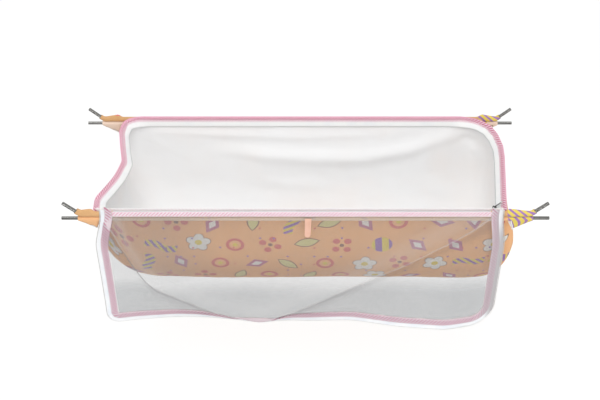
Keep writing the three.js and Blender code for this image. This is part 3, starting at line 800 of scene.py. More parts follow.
@dataclass(frozen=True)
class NetFinish:
    """Fine knitted net: pale threads round small holes."""

    name: str = "cover_net"
    shade: Colour = paint(156, 161, 163)
    light: Colour = paint(236, 236, 236)
    dark: Colour = paint(134, 132, 136)
    deep: Colour = paint(148, 150, 156)
    hole_pitch: float = 0.0016
    cover_share: float = 0.18
    thread_share: float = 0.3
    fold_shares: dict = field(default_factory=lambda: {"ridge": 0.14, "fold_shade": 0.08, "gather_and_shade": 0.22})
    thread_levels: tuple[float, float] = (0.75, 0.15)
    thread_bump: tuple[float, float] = (0.0001, 0.4)
    thread_sway: float = 0.4
    thread_cover: float = 0.21
    patch_scale: float = 9.0
    patch_share: float = 0.06
    tint_scale: float = 5.0
    tint_share: float = 0.4
    ridge_highlight: float = 0.7
    fold_shade_strength: float = 0.5
    roughness: float = 0.7
    rough_share: float = 0.1
    sheen: float = 0.1

    def material(self) -> Material:
        """The net's material."""
        board = Board(self.name)
        along, across = board.cloth_place()
        turns = TURN / self.hole_pitch
        wave = (along * turns).do("SINE")
        mesh = wave * (across * turns + wave * self.thread_sway).do("SINE")
        threads = mesh.do("ABSOLUTE").rising(*self.thread_levels)
        density = board.noise(self.patch_scale) * self.patch_share
        marks = {name: board.attribute(name) for name in self.fold_shares}
        # The fold marks make the net denser; the left part of the gathered mark is painted shade.
        alpha = threads * self.thread_share + density + (self.cover_share - self.thread_cover)
        for name, share in self.fold_shares.items():
            alpha = alpha + marks[name] * share
        tint = board.mix(board.noise(self.tint_scale) * self.tint_share, self.shade, self.deep)
        # Painted highlight along the fold ridges, and painted shade where the net turns under them.
        tint = board.mix(marks["ridge"] * self.ridge_highlight, tint, self.light)
        tint = board.mix(marks["fold_shade"] * self.fold_shade_strength, tint, self.dark)
        normal = board.bump(threads, *self.thread_bump)
        rough = threads * self.rough_share + self.roughness
        return board.finish(
            Base_Color=tint, Roughness=rough, Alpha=alpha, Normal=normal, Sheen_Weight=self.sheen
        )


@dataclass(frozen=True)
class MetalFinish:
    """Bare metal with light and dark streaks, partly drawn marks and partly painted reflections, darker grime
    and small scratches.
    """

    name: str
    dark: Colour
    light: Colour
    roughness: float = 0.3
    streak_scale: tuple[float, float, float] = (4.0, 900.0, 900.0)
    highlit: Colour | None = None
    highlit_from: float = 0.0
    highlit_reach: float = 0.002
    grime: Colour = paint(70, 68, 64)
    grime_scale: float = 120.0
    grime_levels: tuple[float, float] = (0.55, 0.8)
    grime_share: float = 0.4
    streak_levels: tuple[float, float] = (0.35, 0.65)
    streak_bump: tuple[float, float] = (0.00005, 0.5)
    rough_share: float = 0.2

    def material(self) -> Material:
        """The metal's material."""
        board = Board(self.name)
        mapped = board.node("ShaderNodeMapping", {"Vector": board.object_place(), "Scale": self.streak_scale})
        streaks = board.noise(1.0, 4.0, mapped.outputs[0])
        grime = board.noise(self.grime_scale, 3.0)
        # The light and dark streaks are partly drawn marks and partly painted reflection bands, which are
        # strongest on the rod steel.
        colour = board.mix(streaks.rising(*self.streak_levels), self.dark, self.light)
        colour = board.mix(grime.rising(*self.grime_levels) * self.grime_share, colour, self.grime)
        # Painted highlight: the colour turns light towards the pull's tip, past a set length along the cloth.
        if self.highlit:
            along = board.cloth_place()[0]
            wear_and_highlight = along.rising(self.highlit_from, self.highlit_from + self.highlit_reach)
            colour = board.mix(wear_and_highlight, colour, self.highlit)
        normal = board.bump(streaks, *self.streak_bump)
        rough = grime * self.rough_share + (self.roughness - self.rough_share / 2)
        return board.finish(Base_Color=colour, Metallic=1.0, Roughness=rough, Normal=normal)


FINISHES = (
    PrintedCotton(),
    PrintedCotton("sleeve_cotton", paint(219, 171, 118), striped_from=0.455),
    PrintedCotton("pocket_cotton", paint(246, 190, 138), striped_from=0.458, sunlit_within=0.440),
    PrintedCotton("back_cotton", paint(246, 226, 210)),
    PlainCloth("tab_cotton", paint(238, 193, 172), paint(228, 178, 152), 0.6, 60.0),
    PlainCloth("lining_cotton", paint(251, 251, 251), paint(250, 242, 237), 0.5, 5.0),
    MetalFinish("rod_steel", paint(40, 39, 38), paint(166, 165, 162)),
    PlainCloth("seam_band", paint(250, 232, 238), paint(244, 214, 224), 0.5, 80.0),
    PlainCloth("rim_band", paint(238, 178, 200), paint(226, 150, 180), 0.5, 80.0),
    # Painted shade: a darker copy of the seam band, for the band on the cover's free edge.
    PlainCloth(
        "shaded_cover_band", paint(224, 208, 214), paint(212, 190, 200), 0.5, 80.0,
        far_painted_shade=paint(200, 187, 193), far_from=0.420,
    ),
    ThreadFinish("pink_thread", paint(255, 236, 243), paint(196, 66, 118)),
    ThreadFinish("pale_thread", paint(255, 248, 250), paint(226, 138, 176)),
    ThreadFinish("white_thread", paint(250, 249, 248), paint(246, 236, 239)),
    # Painted shade: a darker copy of the pale thread, for the seam on the cover's free edge.
    ThreadFinish("shaded_cover_thread", paint(230, 226, 230), paint(198, 122, 152), paint(198, 184, 190), 0.420),
    ThreadFinish("zip_coil", paint(226, 229, 228), paint(208, 212, 210)),
    PlainCloth("zip_tape", paint(248, 248, 247), paint(236, 238, 242), 0.5, 30.0, rib_pitch=0.0016),
    # The cover tape turns to a painted shade at its right end.
    PlainCloth(
        "cover_tape", paint(251, 253, 255), paint(232, 238, 247), 0.6, 24.0, rib_pitch=0.0016,
        far_painted_shade=paint(194, 190, 192), far_from=0.436,
    ),
    NetFinish(),
    # A pale, nearly opaque copy of the net for the heading; it is partly painted light over the shade line
    # between the front seam and the hem.
    NetFinish(
        "heading_net", paint(240, 240, 241), paint(248, 248, 248), paint(228, 228, 230), cover_share=0.90
    ),
    MetalFinish("zip_metal", paint(58, 56, 54), paint(96, 94, 90), 0.35, (60.0, 60.0, 60.0)),
    MetalFinish(
        "pull_metal", paint(52, 50, 48), paint(84, 82, 80), 0.3, (60.0, 60.0, 60.0),
        highlit=paint(216, 214, 210), highlit_from=0.007,
    ),
)


# Forms shared with the frame


@dataclass(frozen=True)
class CradleForm:
    """The curved surface of the cradle's cloth, as the frame has it."""

    half_length: float = 0.450
    seam_y: float = 0.1819
    depth: float = 0.280
    rim_z: float = 0.0118
    left_sag: float = 0.018
    bellies: dict = field(default_factory=lambda: {End.LEFT: -0.014, End.RIGHT: 0.028})
    end_lengths: dict = field(default_factory=lambda: {End.LEFT: 0.150, End.RIGHT: 0.120})
    powers: dict = field(default_factory=lambda: {End.LEFT: 3.0, End.RIGHT: 7.0})
    section_power: float = 3.0
    back_swag: float = 0.009
    belly_level: float = 0.45
    right_front: float = 0.5
    front_gain: float = 1.44
    fold_level: float = 0.42
    fold_slope: float = 0.12
    fold_width: float = 0.16
    fold_spread: float = 2.2
    rims: dict = field(
        default_factory=lambda: {
            End.LEFT: smooth_table(
                (
                    (-1, -1), (-0.76, -1.01), (-0.54, -0.987), (-0.22, -0.957), (0.14, -0.937),
                    (0.41, -0.962), (0.72, -0.985), (0.9, -0.975), (0.97, -0.945), (1, -0.9),
                ),
                RIM_ROUNDING,
            ),
            End.RIGHT: smooth_table(
                (
                    (-1, 1), (0.1, 1.07), (0.35, 1.08), (0.6, 1.072),
                    (0.78, 1.05), (0.9, 1.01), (0.97, 0.965), (1, 0.9),
                ),
                RIM_ROUNDING,
            ),
        }
    )

    def rim_x(self, end: End, y: Grid) -> Grid:
        """X of the rim of one end at places across."""
        places, values = self.rims[end]
        return self.half_length * np.interp(y / self.seam_y, places, values)

    def rim_height(self, end: End, y: Grid) -> Grid:
        """Height of the rim of one end at places across."""
        sag = self.left_sag if end is End.LEFT else 0.0
        return self.rim_z - sag * np.cos(np.pi * np.asarray(y) / (2 * self.seam_y)) ** 2

    def end_grid(self, end: End, rows: int, angles: Grid) -> Grid:
        """The outer face of one end, from where it meets the middle to its rim.

        Args:
            end: Which end.
            rows: Number of rows.
            angles: Angles of the section.

        Returns:
            Points in rows and columns.
        """
        power, length = self.powers[end], self.end_lengths[end]
        dense = np.linspace(0, np.pi / 2, DENSE_STEPS)
        reach, depth = self.squared(dense, power)
        turns = even_steps(np.stack([reach * length, depth * self.depth], axis=1), dense, rows)
        reach, sink = (part[:, None] for part in self.squared(turns, power))
        sink[-1] = 0
        across, section = self.section(angles)
        depth = sink * section
        y = self.seam_y * across + 0 * depth
        inner = end.value * (self.half_length - length)
        front = self.right_front if end is End.RIGHT else 0.0
        swell = self.front_gain * np.maximum(0, -across) - (self.front_gain - 1)
        belly = self.bellies[end] * (1 + front * swell)
        level = depth / self.belly_level
        x = inner + (self.rim_x(end, y) - inner + belly * level * np.exp(1 - level)) * reach
        top = self.rim_z + (self.rim_height(end, y) - self.rim_z) * reach
        return self.shaped(x, y, depth, top, across)

    @staticmethod
    def squared(angles: Grid, power: float) -> tuple[Grid, Grid]:
        """The two places on a squared circle at angles from its top."""
        radius = (np.abs(np.sin(angles)) ** power + np.abs(np.cos(angles)) ** power) ** (-1 / power)
        return np.sin(angles) * radius, np.maximum(np.cos(angles), 0) * radius

    def section(self, angles: Grid) -> tuple[Grid, Grid]:
        """Place across and share of the depth at angles of the section."""
        across, depth = self.squared(angles, self.section_power)
        depth[[0, -1]] = 0
        return across[None], depth[None]

    def shaped(self, x: Grid, y: Grid, depth: Grid, top: Grid, across: Grid) -> Grid:
        """Points from their places and shares, with the shallow fold along the back wall."""
        level = self.fold_level - self.fold_slope * (x / self.half_length)
        fold = bell(depth, level, self.fold_width) * np.maximum(0, across) ** 2
        along = np.cos(np.pi * x / (self.fold_spread * self.half_length)) ** 2
        return np.stack([x, y - self.back_swag * fold * along, top - (self.depth + top) * depth], axis=2)

    def surface(self, end_rows: int, middle_rows: int, columns: int) -> Grid:
        """The outer face of the whole body.

        Args:
            end_rows: Rows over each end.
            middle_rows: Rows between the ends.
            columns: Points across each row.

        Returns:
            Points in rows from left to right, each from the front rim to the back rim.
        """
        dense = np.linspace(-np.pi / 2, np.pi / 2, 2 * DENSE_STEPS)
        across, section = self.section(dense)
        curve = np.stack([self.seam_y * across[0], self.depth * section[0]], axis=1)
        angles = even_steps(curve, dense, columns)
        left = self.end_grid(End.LEFT, end_rows, angles)[::-1]
        right = self.end_grid(End.RIGHT, end_rows, angles)
        across, section = self.section(angles)
        low, high = (end.value * (self.half_length - self.end_lengths[end]) for end in End)
        x = np.linspace(low, high, middle_rows + 2)[1:-1, None]
        flat = 0 * x * across
        middle = self.shaped(x + flat, self.seam_y * across + flat, section + flat, self.rim_z + flat, across)
        return np.concatenate([left, middle, right])

    def inward(self, grid: Grid) -> Grid:
        """Directions into the cradle, level along the rim so that all layers end at one height.

        Args:
            grid: Points of the surface.

        Returns:
            Unit directions.
        """
        normals = grid_normals(grid)
        rim = np.zeros(grid.shape[:2], bool)
        rim[[0, -1]] = True
        rim[:, [0, -1]] = True
        level = normals * [1, 1, 0]
        for i in (0, -1):
            for j in (0, -1):
                near_i, near_j = (1 if i == 0 else -2), (1 if j == 0 else -2)
                level[i, j] = normals[near_i, j] * [1, 1, 0] + normals[i, near_j] * [1, 1, 0]
        level /= np.maximum(np.linalg.norm(level, axis=2, keepdims=True), 1e-9)
        return np.where(rim[..., None], level, normals)


@dataclass(frozen=True)
class Strip:
    """A path with the direction across a strip and out of its face at each station."""

    start: Grid
    across: Grid
    normal: Grid

    def grid(self, low: float, high: float, columns: int) -> Grid:
        """Points between two distances across the strip."""
        return self.start[:, None] + self.across[:, None] * np.linspace(low, high, columns)[None, :, None]


class Rim:
    """The left, back and right rim of the cradle and the strips that follow it."""

    SAMPLES = 400
    FRONT_INSET = 0.0032
    LAYERS = 0.0025
    SEAM_LEANS = (22.0, 84.0)
    TAPE_PLACES = (-0.04, 0.06)
    TAPE_LEFT_LEANS = (20.0, 40.0)
    TAPE_RIGHT_LEAN = 45.0
    TAPE_BACK_LEAN = 80.0

    def __init__(self, form: CradleForm, step: float = 0.004) -> None:
        """Walks round the rim.

        Args:
            form: Form of the cradle.
            step: Distance between stations.
        """
        self.form = form
        start = self.FRONT_INSET - form.seam_y
        ys = np.linspace(start, form.seam_y, self.SAMPLES)
        left, right = (np.stack([form.rim_x(end, ys), ys, form.rim_height(end, ys)], axis=1) for end in End)
        back_x = np.linspace(left[-1, 0], right[-1, 0], self.SAMPLES)[1:-1]
        back = np.stack([back_x, 0 * back_x + form.seam_y, 0 * back_x + form.rim_z], axis=1)
        line = np.concatenate([left, back, right[::-1]])
        lengths = path_lengths(line)
        even = np.linspace(0, lengths[-1], int(lengths[-1] / step))
        self.points = np.stack([np.interp(even, lengths, line[:, i]) for i in range(3)], axis=1)
        way = np.gradient(self.points, axis=0) * [1, 1, 0]
        way = self.eased(way / np.linalg.norm(way, axis=1, keepdims=True), 3)
        way /= np.linalg.norm(way, axis=1, keepdims=True)
        self.outward = np.stack([-way[:, 1], way[:, 0], 0 * way[:, 0]], axis=1)
        to_back, from_back = lengths[self.SAMPLES - 1], lengths[-self.SAMPLES]
        self.side = np.where(even < to_back, -1.0, np.where(even > from_back, 1.0, 0.0))

    @staticmethod
    def eased(values: Grid, reach: int) -> Grid:
        """Values averaged over neighbouring stations."""
        kernel = np.ones(2 * reach + 1) / (2 * reach + 1)
        padded = np.pad(values, ((reach, reach), (0, 0)), mode="edge")
        return np.stack([np.convolve(column, kernel, mode="valid") for column in padded.T], axis=1)

    def leaning(self, degrees: Grid) -> Grid:
        """Outward directions that lean up by an angle at each station."""
        lean = np.radians(degrees)[:, None]
        return self.outward * np.cos(lean) + np.array([0, 0, 1]) * np.sin(lean)

    def upper(self, across: Grid) -> Grid:
        """The upper side of a strip that runs across the rim."""
        along = np.stack([-self.outward[:, 1], self.outward[:, 0], 0 * self.outward[:, 0]], axis=1)
        normal = np.cross(along, across)
        return normal * np.where(normal[:, 2:] < 0, -1, 1)

    def seam(self, back_width: float, thickness: float = 0.0024, gap: float = 0.0004) -> Strip:
        """The overlocked edge, which stands up along the back and lies outward at the ends.

        Args:
            back_width: Width along the back as a share of the width at the ends.
            thickness: Room for the seam's thickness.
            gap: Gap between the rim and the seam.

        Returns:
            The strip.
        """
        facing = np.abs(self.outward[:, 1])
        low, high = self.SEAM_LEANS
        across = self.leaning(low + (high - low) * facing)
        normal = self.upper(across)
        base = self.points - self.outward * (thickness / 2) * across[:, 2:]
        across = across * (1 + (back_width - 1) * facing[:, None])
        base[:, 2] += gap + thickness / 2 * normal[:, 2]
        return Strip(base, across, normal)

    def tape(self, thickness: float = 0.0009, gap: float = 0.0004) -> Strip:
        """The zip tape, which starts inside the rim and runs inward and down."""
        left = np.interp(self.points[:, 1], self.TAPE_PLACES, self.TAPE_LEFT_LEANS)
        other = np.where(self.side > 0, self.TAPE_RIGHT_LEAN, self.TAPE_BACK_LEAN)
        lean = np.where(self.side < 0, left, other)
        lean = self.eased(lean[:, None], 6)[:, 0]
        across = -self.leaning(lean)
        clear = gap + thickness / 2
        start = self.points - self.outward * (self.LAYERS + clear)
        start[:, 2] += clear
        return Strip(start, across, self.upper(across))


@dataclass(frozen=True)
class CoverForm:
    """The hanging net cover, from places on the flat cloth."""

    hinge_y: float = -0.1961
    hinge_z: float = 0.0243
    half: float = 0.463
    drop: float = 0.330
    swag: float = 0.030
    swing: float = 0.046
    corner_radii: dict = field(default_factory=lambda: {End.LEFT: 0.032, End.RIGHT: 0.060})
    stub: float = 0.006
    coil_edge: float = 0.0026
    tape_edges: tuple[float, float] = (0.0030, 0.0116)
    seam_edges: tuple[float, float] = (0.0120, 0.0279)
    net_edge: float = 0.0287
    hem: float = 0.013
    tucks: dict = field(default_factory=lambda: {End.LEFT: 0.022, End.RIGHT: -0.014})
    tuck_reach: float = 0.070
    tuck_drop: float = 0.110
    least_edge: float = 0.02
    full_edge: float = 0.4
    rise_power: float = 1.6
    fall_share: float = 0.075
    leave_share: float = 0.12
    edge_table: tuple = field(
        default_factory=lambda: smooth_table(
            (
                (-1, 0.04), (-0.87, 0.24), (-0.76, 0.6), (-0.45, 0.87), (-0.2, 0.97), (0.02, 0.8),
                (0.38, 0.5), (0.7, 0.25), (0.92, 0.07), (1, 0.03),
            ),
            TABLE_ROUNDING,
        )
    )
    swing_table: tuple = field(
        default_factory=lambda: smooth_table(
            (
                (-1, 0.5), (-0.85, 0.25), (-0.65, 0.04), (-0.45, 0), (-0.2, 0.05), (0.05, 0.3),
                (0.27, 0.28), (0.5, 0.75), (0.75, 1), (0.92, 0.6), (1, 0.45),
            ),
            TABLE_ROUNDING,
        )
    )

    def outward(self, x: Grid, drop: Grid) -> Grid:
        """How far the cover stands out from its hinge plane."""
        along, down = np.clip(x / self.half, -1, 1), np.maximum(drop / self.drop, 0)
        edge = np.maximum(np.interp(along, *self.edge_table), self.least_edge)
        full = self.swag * np.minimum(1, edge / self.full_edge)
        rise = np.sin(np.pi / 2 * np.minimum(1, down / edge) ** self.rise_power)
        fall = np.exp(-np.maximum(0, down - edge) / self.fall_share)
        leave = np.minimum(1, down / self.leave_share) ** 2
        return full * rise * fall * leave + self.swing * np.interp(along, *self.swing_table) * down**2

    def past_fold(self, x: Grid, drop: Grid) -> Grid:
        """How far points of the flat cloth lie below the edge of the swag."""
        return drop - self.drop * np.interp(np.clip(x / self.half, -1, 1), *self.edge_table)

    def tuck(self, x: Grid, drop: Grid) -> Grid:
        """How far the upper corners are drawn in along the rod."""
        inner = self.half - self.net_edge
        near = smooth_step((np.abs(x) - inner + self.tuck_reach) / self.tuck_reach)
        high = smooth_step(1 - drop / self.tuck_drop)
        size = np.where(x < 0, self.tucks[End.LEFT], self.tucks[End.RIGHT])
        return size * near * high

    def points(self, x: Grid, drop: Grid) -> Grid:
        """Points of the middle of the cover cloth."""
        x, drop = np.broadcast_arrays(np.asarray(x, float), np.asarray(drop, float))
        y = self.hinge_y - self.outward(x, drop)
        return np.stack([x + self.tuck(x, drop), y, self.hinge_z - drop], axis=-1)

    def edge_path(self) -> Grid:
        """Stations down the left edge, along the lower edge and up the right edge of the flat cover.

        Returns:
            Rows of x, drop and the inward direction in x and in drop.
        """
        left, right = self.corner_radii[End.LEFT], self.corner_radii[End.RIGHT]

        def corner(side: int, radius: float, low: float, high: float) -> Grid:
            """Stations round a corner between two angles."""
            turn = np.linspace(low, high, 24)
            x = side * (self.half - radius) + radius * np.cos(turn)
            drop = self.drop - radius + radius * np.sin(turn)
            return np.stack([x, drop, -np.cos(turn), -np.sin(turn)], axis=1)

        def straight(x: Grid, drop: Grid, in_x: float, in_drop: float) -> Grid:
            """Stations along a straight edge."""
            x, drop = np.broadcast_arrays(x, drop)
            return np.stack([x, drop, 0 * x + in_x, 0 * x + in_drop], axis=1)

        down = np.linspace(-self.stub, self.drop - left, 70)[:-1]
        lower = np.linspace(left - self.half, self.half - right, 180)[1:-1]
        up = np.linspace(self.drop - right, -self.stub, 66)[1:]
        return np.concatenate([
            straight(np.float64(-self.half), down, 1, 0),
            corner(-1, left, np.pi, np.pi / 2),
            straight(lower, np.float64(self.drop), 0, -1),
            corner(1, right, np.pi / 2, 0),
            straight(np.float64(self.half), up, -1, 0),
        ])

    def strip_grid(self, low: float, high: float, columns: int) -> Grid:
        """Points of a strip round the free edges, between two distances from the edge."""
        x, drop, in_x, in_drop = (column[:, None] for column in self.edge_path().T)
        inset = np.linspace(low, high, columns)[None]
        return self.points(x + in_x * inset, drop + in_drop * inset)

    def net_grid(self, rows: int, columns: int) -> tuple[Grid, Grid]:
        """Points of the net between the seams, and their places on the flat cloth."""
        radius = self.corner_radii[End.RIGHT]
        straight = np.linspace(self.hem + 0.0004, self.drop - radius, rows)[:-1]
        turn = np.linspace(0, np.pi / 2, 20)
        drops = np.concatenate([straight, self.drop - radius + (radius - self.net_edge) * np.sin(turn)])
        ends = []
        for end, size in self.corner_radii.items():
            inner = size - self.net_edge
            below = np.maximum(0, drops - (self.drop - size))
            cut = inner - np.sqrt(np.maximum(0, inner**2 - below**2))
            ends.append(end.value * (self.half - self.net_edge - cut))
        share = np.linspace(0, 1, columns)[None]
        x = ends[0][:, None] * (1 - share) + ends[1][:, None] * share
        flat = np.stack([x, drops[:, None] + 0 * x, 0 * x], axis=2)
        return self.points(x, drops[:, None]), flat


# Trees of Geometry Nodes


@dataclass(frozen=True)
class Wrap:
    """Sizes of the threads or teeth that wrap a band."""

    pitch: float
    width: float
    thickness: float
    slant: float
    radius: float
    shades: float = 4.0
    ring_steps: int = 10


class WrapTree:
    """Threads or coil teeth that wrap a band at an even pitch along a path."""

    SIZES = ("Pitch", "Wrap Width", "Wrap Thickness", "Slant", "Thread Radius", "Shades")

    THREAD_SIDES = 4

    def __init__(self, material: Material, ring_steps: int) -> None:
        """Builds the tree.

        Args:
            material: Material of the threads.
            ring_steps: Steps round the band.
        """
        self.tree = bpy.data.node_groups.new("wrapped_thread", "GeometryNodeTree")
        face = self.tree.interface
        face.new_socket("Geometry", in_out="INPUT", socket_type="NodeSocketGeometry")
        self.ids = [
            face.new_socket(name, in_out="INPUT", socket_type="NodeSocketFloat").identifier
            for name in self.SIZES
        ]
        face.new_socket("Geometry", in_out="OUTPUT", socket_type="NodeSocketGeometry")
        given = self.add("NodeGroupInput").outputs
        curve = self.add("GeometryNodeMeshToCurve", {0: given["Geometry"]}).outputs[0]
        lengths = {"Curve": curve, "Length": given["Pitch"]}
        even = self.add("GeometryNodeResampleCurve", lengths, mode="LENGTH")
        ways = [
            self.add("GeometryNodeInputNamedAttribute", {"Name": name}, data_type="FLOAT_VECTOR").outputs[0]
            for name in ("normal_way", "across_way")
        ]
        turn = self.add(
            "FunctionNodeAxesToRotation", dict(enumerate(ways)), primary_axis="Z", secondary_axis="Y"
        )
        circle = {"Resolution": ring_steps, "Radius": 1.0}
        loop = self.add("GeometryNodeCurvePrimitiveCircle", circle).outputs[0]
        position = self.add("GeometryNodeInputPosition").outputs[0]
        split = self.add("ShaderNodeSeparateXYZ", {0: position}).outputs
        slanted = self.times(split[0], given["Slant"])
        wide = self.times(split[0], self.times(given["Wrap Width"], 0.5))
        thick = self.times(split[1], self.times(given["Wrap Thickness"], 0.5))
        place = self.add("ShaderNodeCombineXYZ", {0: slanted, 1: wide, 2: thick}).outputs[0]
        shaped = self.add("GeometryNodeSetPosition", {"Geometry": loop, "Position": place}).outputs[0]
        circle = {"Resolution": self.THREAD_SIDES, "Radius": given["Thread Radius"]}
        profile = self.add("GeometryNodeCurvePrimitiveCircle", circle).outputs[0]
        thread = self.add("GeometryNodeCurveToMesh", {"Curve": shaped, "Profile Curve": profile}).outputs[0]
        placed = self.add(
            "GeometryNodeInstanceOnPoints",
            {"Points": even.outputs[0], "Instance": thread, "Rotation": turn.outputs[0]},
        ).outputs[0]
        index = self.add("GeometryNodeInputIndex").outputs[0]
        phase = self.add("ShaderNodeMath", {0: index, 1: given["Shades"]}, operation="MODULO").outputs[0]
        half = self.times(given["Shades"], 0.5)
        second = self.add("ShaderNodeMath", {0: phase, 1: half}, operation="LESS_THAN").outputs[0]
        shaded = self.add(
            "GeometryNodeStoreNamedAttribute",
            {"Geometry": placed, "Name": "shade", "Value": second},
            data_type="FLOAT",
            domain="INSTANCE",
        ).outputs[0]
        whole = self.add("GeometryNodeRealizeInstances", {0: shaded}).outputs[0]
        dressed = self.add("GeometryNodeSetMaterial", {"Geometry": whole, "Material": material}).outputs[0]
        self.add("NodeGroupOutput", {0: dressed})

    def add(self, kind: str, inputs: dict | None = None, **settings: object) -> bpy.types.Node:
        """Adds a node with its settings, values and links."""
        made = self.tree.nodes.new(kind)
        for key, value in settings.items():
            setattr(made, key, value)
        for key, value in (inputs or {}).items():
            if isinstance(value, Socket):
                self.tree.links.new(value, made.inputs[key])
            else:
                made.inputs[key].default_value = value
        return made

    def times(self, first: object, second: object) -> Socket:
        """The product of two numbers."""
        return self.add("ShaderNodeMath", {0: first, 1: second}, operation="MULTIPLY").outputs[0]

    def wrap(self, name: str, strip: Strip, middle: float, wrap: Wrap) -> Object:
        """Wraps a strip's band with threads.

        Args:
            name: Name of the new object.
            strip: The strip that is wrapped.
            middle: Distance of the band's middle line across the strip.
            wrap: Sizes of the threads.

        Returns:
            The threads as a plain mesh object.
        """
        path = bpy.data.meshes.new(name + "_path")
        points = strip.start + strip.across * middle
        path.from_pydata(points.tolist(), [(i, i + 1) for i in range(len(points) - 1)], [])
        for attribute, values in (("across_way", strip.across), ("normal_way", strip.normal)):
            made = path.attributes.new(attribute, "FLOAT_VECTOR", "POINT")
            made.data.foreach_set("vector", values.astype(np.float32).ravel())
        guide = place_object(name + "_path", path)
        modifier = guide.modifiers.new("wrap", "NODES")
        modifier.node_group = self.tree
        for key, value in zip(self.ids, astuple(wrap)):
            modifier[key] = value
        graph = bpy.context.evaluated_depsgraph_get()
        mesh = bpy.data.meshes.new_from_object(guide.evaluated_get(graph), depsgraph=graph)
        mesh.shade_smooth()
        mesh.name = name
        bpy.data.objects.remove(guide)
        return place_object(name, mesh)


# Pieces


def set_piece(
    made: Object,
    material: Material | None,
    body: Body,
    nodes: tuple[str, ...] = (),
) -> Object:
    """Dresses a piece, lets it ride on its body and hides the nodes that it stands for.

    Args:
        made: The piece.
        material: Its material, or None where the mesh has it already.
        body: Body that it moves with.
        nodes: Nodes that it replaces.

    Returns:
        The piece.
    """
    if material is not None:
        made.data.materials.clear()
        made.data.materials.append(material)
    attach(made, body.value)
    if nodes:
        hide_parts(*nodes)
    LOG.info("%s: %d faces on %s", made.name, len(made.data.polygons), body.value)
    return made


def wrap_piece(
    name: str,
    strip: Strip,
    middle: float,
    wrap: Wrap,
    material: Material,
    body: Body,
    nodes: tuple[str, ...] = (),
) -> Object:
    """Threads or teeth round a strip's band, as a piece.

    Args:
        name: Name of the piece.
        strip: The strip that is wrapped.
        middle: Distance of the band's middle line across the strip.
        wrap: Sizes of the threads.
        material: Their material.
        body: Body that they move with.
        nodes: Nodes that they replace.

    Returns:
        The piece.
    """
    threads = WrapTree(material, wrap.ring_steps).wrap(name, strip, middle, wrap)
    return set_piece(threads, None, body, nodes)


@dataclass
class ClothBody:
    """The cradle's outer cloth and lining, with the folds that they share."""

    form: CradleForm = field(default_factory=CradleForm)
    end_rows: int = 56
    middle_rows: int = 110
    columns: int = 130
    outer_thickness: float = 0.0010
    lining_low: float = 0.0017
    lining_high: float = 0.0025
    rim_fade: float = 0.035
    ridge_gain: float = 1.2
    ridge_narrowing: float = 0.8
    swells: tuple = ((0.0016, 0.16, 3), (0.0005, 0.045, 5))
    ridges: tuple = (
        (0.008, 0.014, (
            (-0.434, 0.145, -0.032), (-0.424, 0.114, -0.072),
            (-0.406, 0.097, -0.117), (-0.383, 0.082, -0.165),
        )),
        (0.009, 0.022, (
            (-0.221, 0.177, -0.075), (-0.099, 0.173, -0.087), (0.039, 0.169, -0.095), (0.164, 0.170, -0.095),
            (0.278, 0.176, -0.075), (0.354, 0.180, -0.044), (0.426, 0.181, -0.020),
        )),
        (0.003, 0.012, (
            (-0.358, 0.181, -0.020), (-0.179, 0.181, -0.029), (0.001, 0.181, -0.035), (0.205, 0.181, -0.029),
        )),
        (0.003, 0.007, ((0.435, 0.168, -0.096), (0.442, 0.157, -0.121), (0.433, 0.153, -0.140))),
        (0.003, 0.007, ((0.433, 0.153, -0.140), (0.416, 0.158, -0.146), (0.400, 0.159, -0.154))),
        (0.006, 0.022, ((0.448, 0.174, -0.050), (0.461, 0.156, -0.093), (0.455, 0.138, -0.140))),
        (0.005, 0.010, ((0.483, 0.117, -0.104), (0.486, 0.076, -0.117), (0.482, 0.026, -0.122))),
        (0.005, 0.024, ((0.319, 0.157, -0.177), (0.397, 0.143, -0.190), (0.465, 0.080, -0.167))),
        (0.004, 0.022, ((-0.132, 0.160, -0.156), (-0.027, 0.157, -0.174), (0.080, 0.155, -0.179))),
        (-0.005, 0.011, (
            (-0.422, 0.159, -0.048), (-0.400, 0.142, -0.109),
            (-0.378, 0.125, -0.156), (-0.356, 0.103, -0.199),
        )),
        (-0.004, 0.012, ((-0.423, 0.006, -0.027), (-0.428, -0.041, -0.036), (-0.433, -0.076, -0.046))),
        (-0.003, 0.015, ((0.402, 0.180, -0.041), (0.432, 0.179, -0.037), (0.460, 0.170, -0.044))),
        (0.004, 0.008, ((-0.395, 0.176, -0.030), (-0.330, 0.172, -0.075), (-0.262, 0.166, -0.112))),
        (0.003, 0.007, ((-0.405, 0.170, -0.052), (-0.352, 0.160, -0.118), (-0.300, 0.145, -0.170))),
    )

    def folded(self) -> tuple[Grid, Grid, Grid]:
        """The folded surface that both cloths follow.

        Returns:
            Points, inward directions and places on the cloth.
        """
        flat = self.form.surface(self.end_rows, self.middle_rows, self.columns)
        height = sum(rise * (ripple(flat, length, seed) + 1) for rise, length, seed in self.swells)
        for rise, width, line in self.ridges:
            height += self.ridge_gain * rise * stroke(flat, line, self.ridge_narrowing * width)
        rim = np.minimum(lengths_along(flat, 1), lengths_along(flat[:, ::-1], 1)[:, ::-1])
        rows = np.minimum(lengths_along(flat, 0), lengths_along(flat[::-1], 0)[::-1])
        height *= smooth_step(np.minimum(rim, rows) / self.rim_fade)
        points = flat + self.form.inward(flat) * height[..., None]
        return points, self.form.inward(points), cloth_uv(flat)

    def build(self, materials: Materials) -> None:
        """Makes the outer cloth and the lining.

        Args:
            materials: Materials by the names of their finishes.
        """
        points, inward, uv = self.folded()
        walls = ("body_front_wall", "body_base", "body_back_wall", "body_left_end", "body_right_end")
        layers = (
            ("shell_cloth", self.outer_thickness, 0.0, Slot.PRINT, walls),
            ("lining_cloth", self.lining_high, self.lining_low, Slot.LINING, ("body_lining",)),
        )
        for name, high, low, slot, nodes in layers:
            cloth = sheet_object(name, points + inward * high, points + inward * low, uv)
            set_piece(cloth, materials[slot.value], Body.CRADLE, nodes)


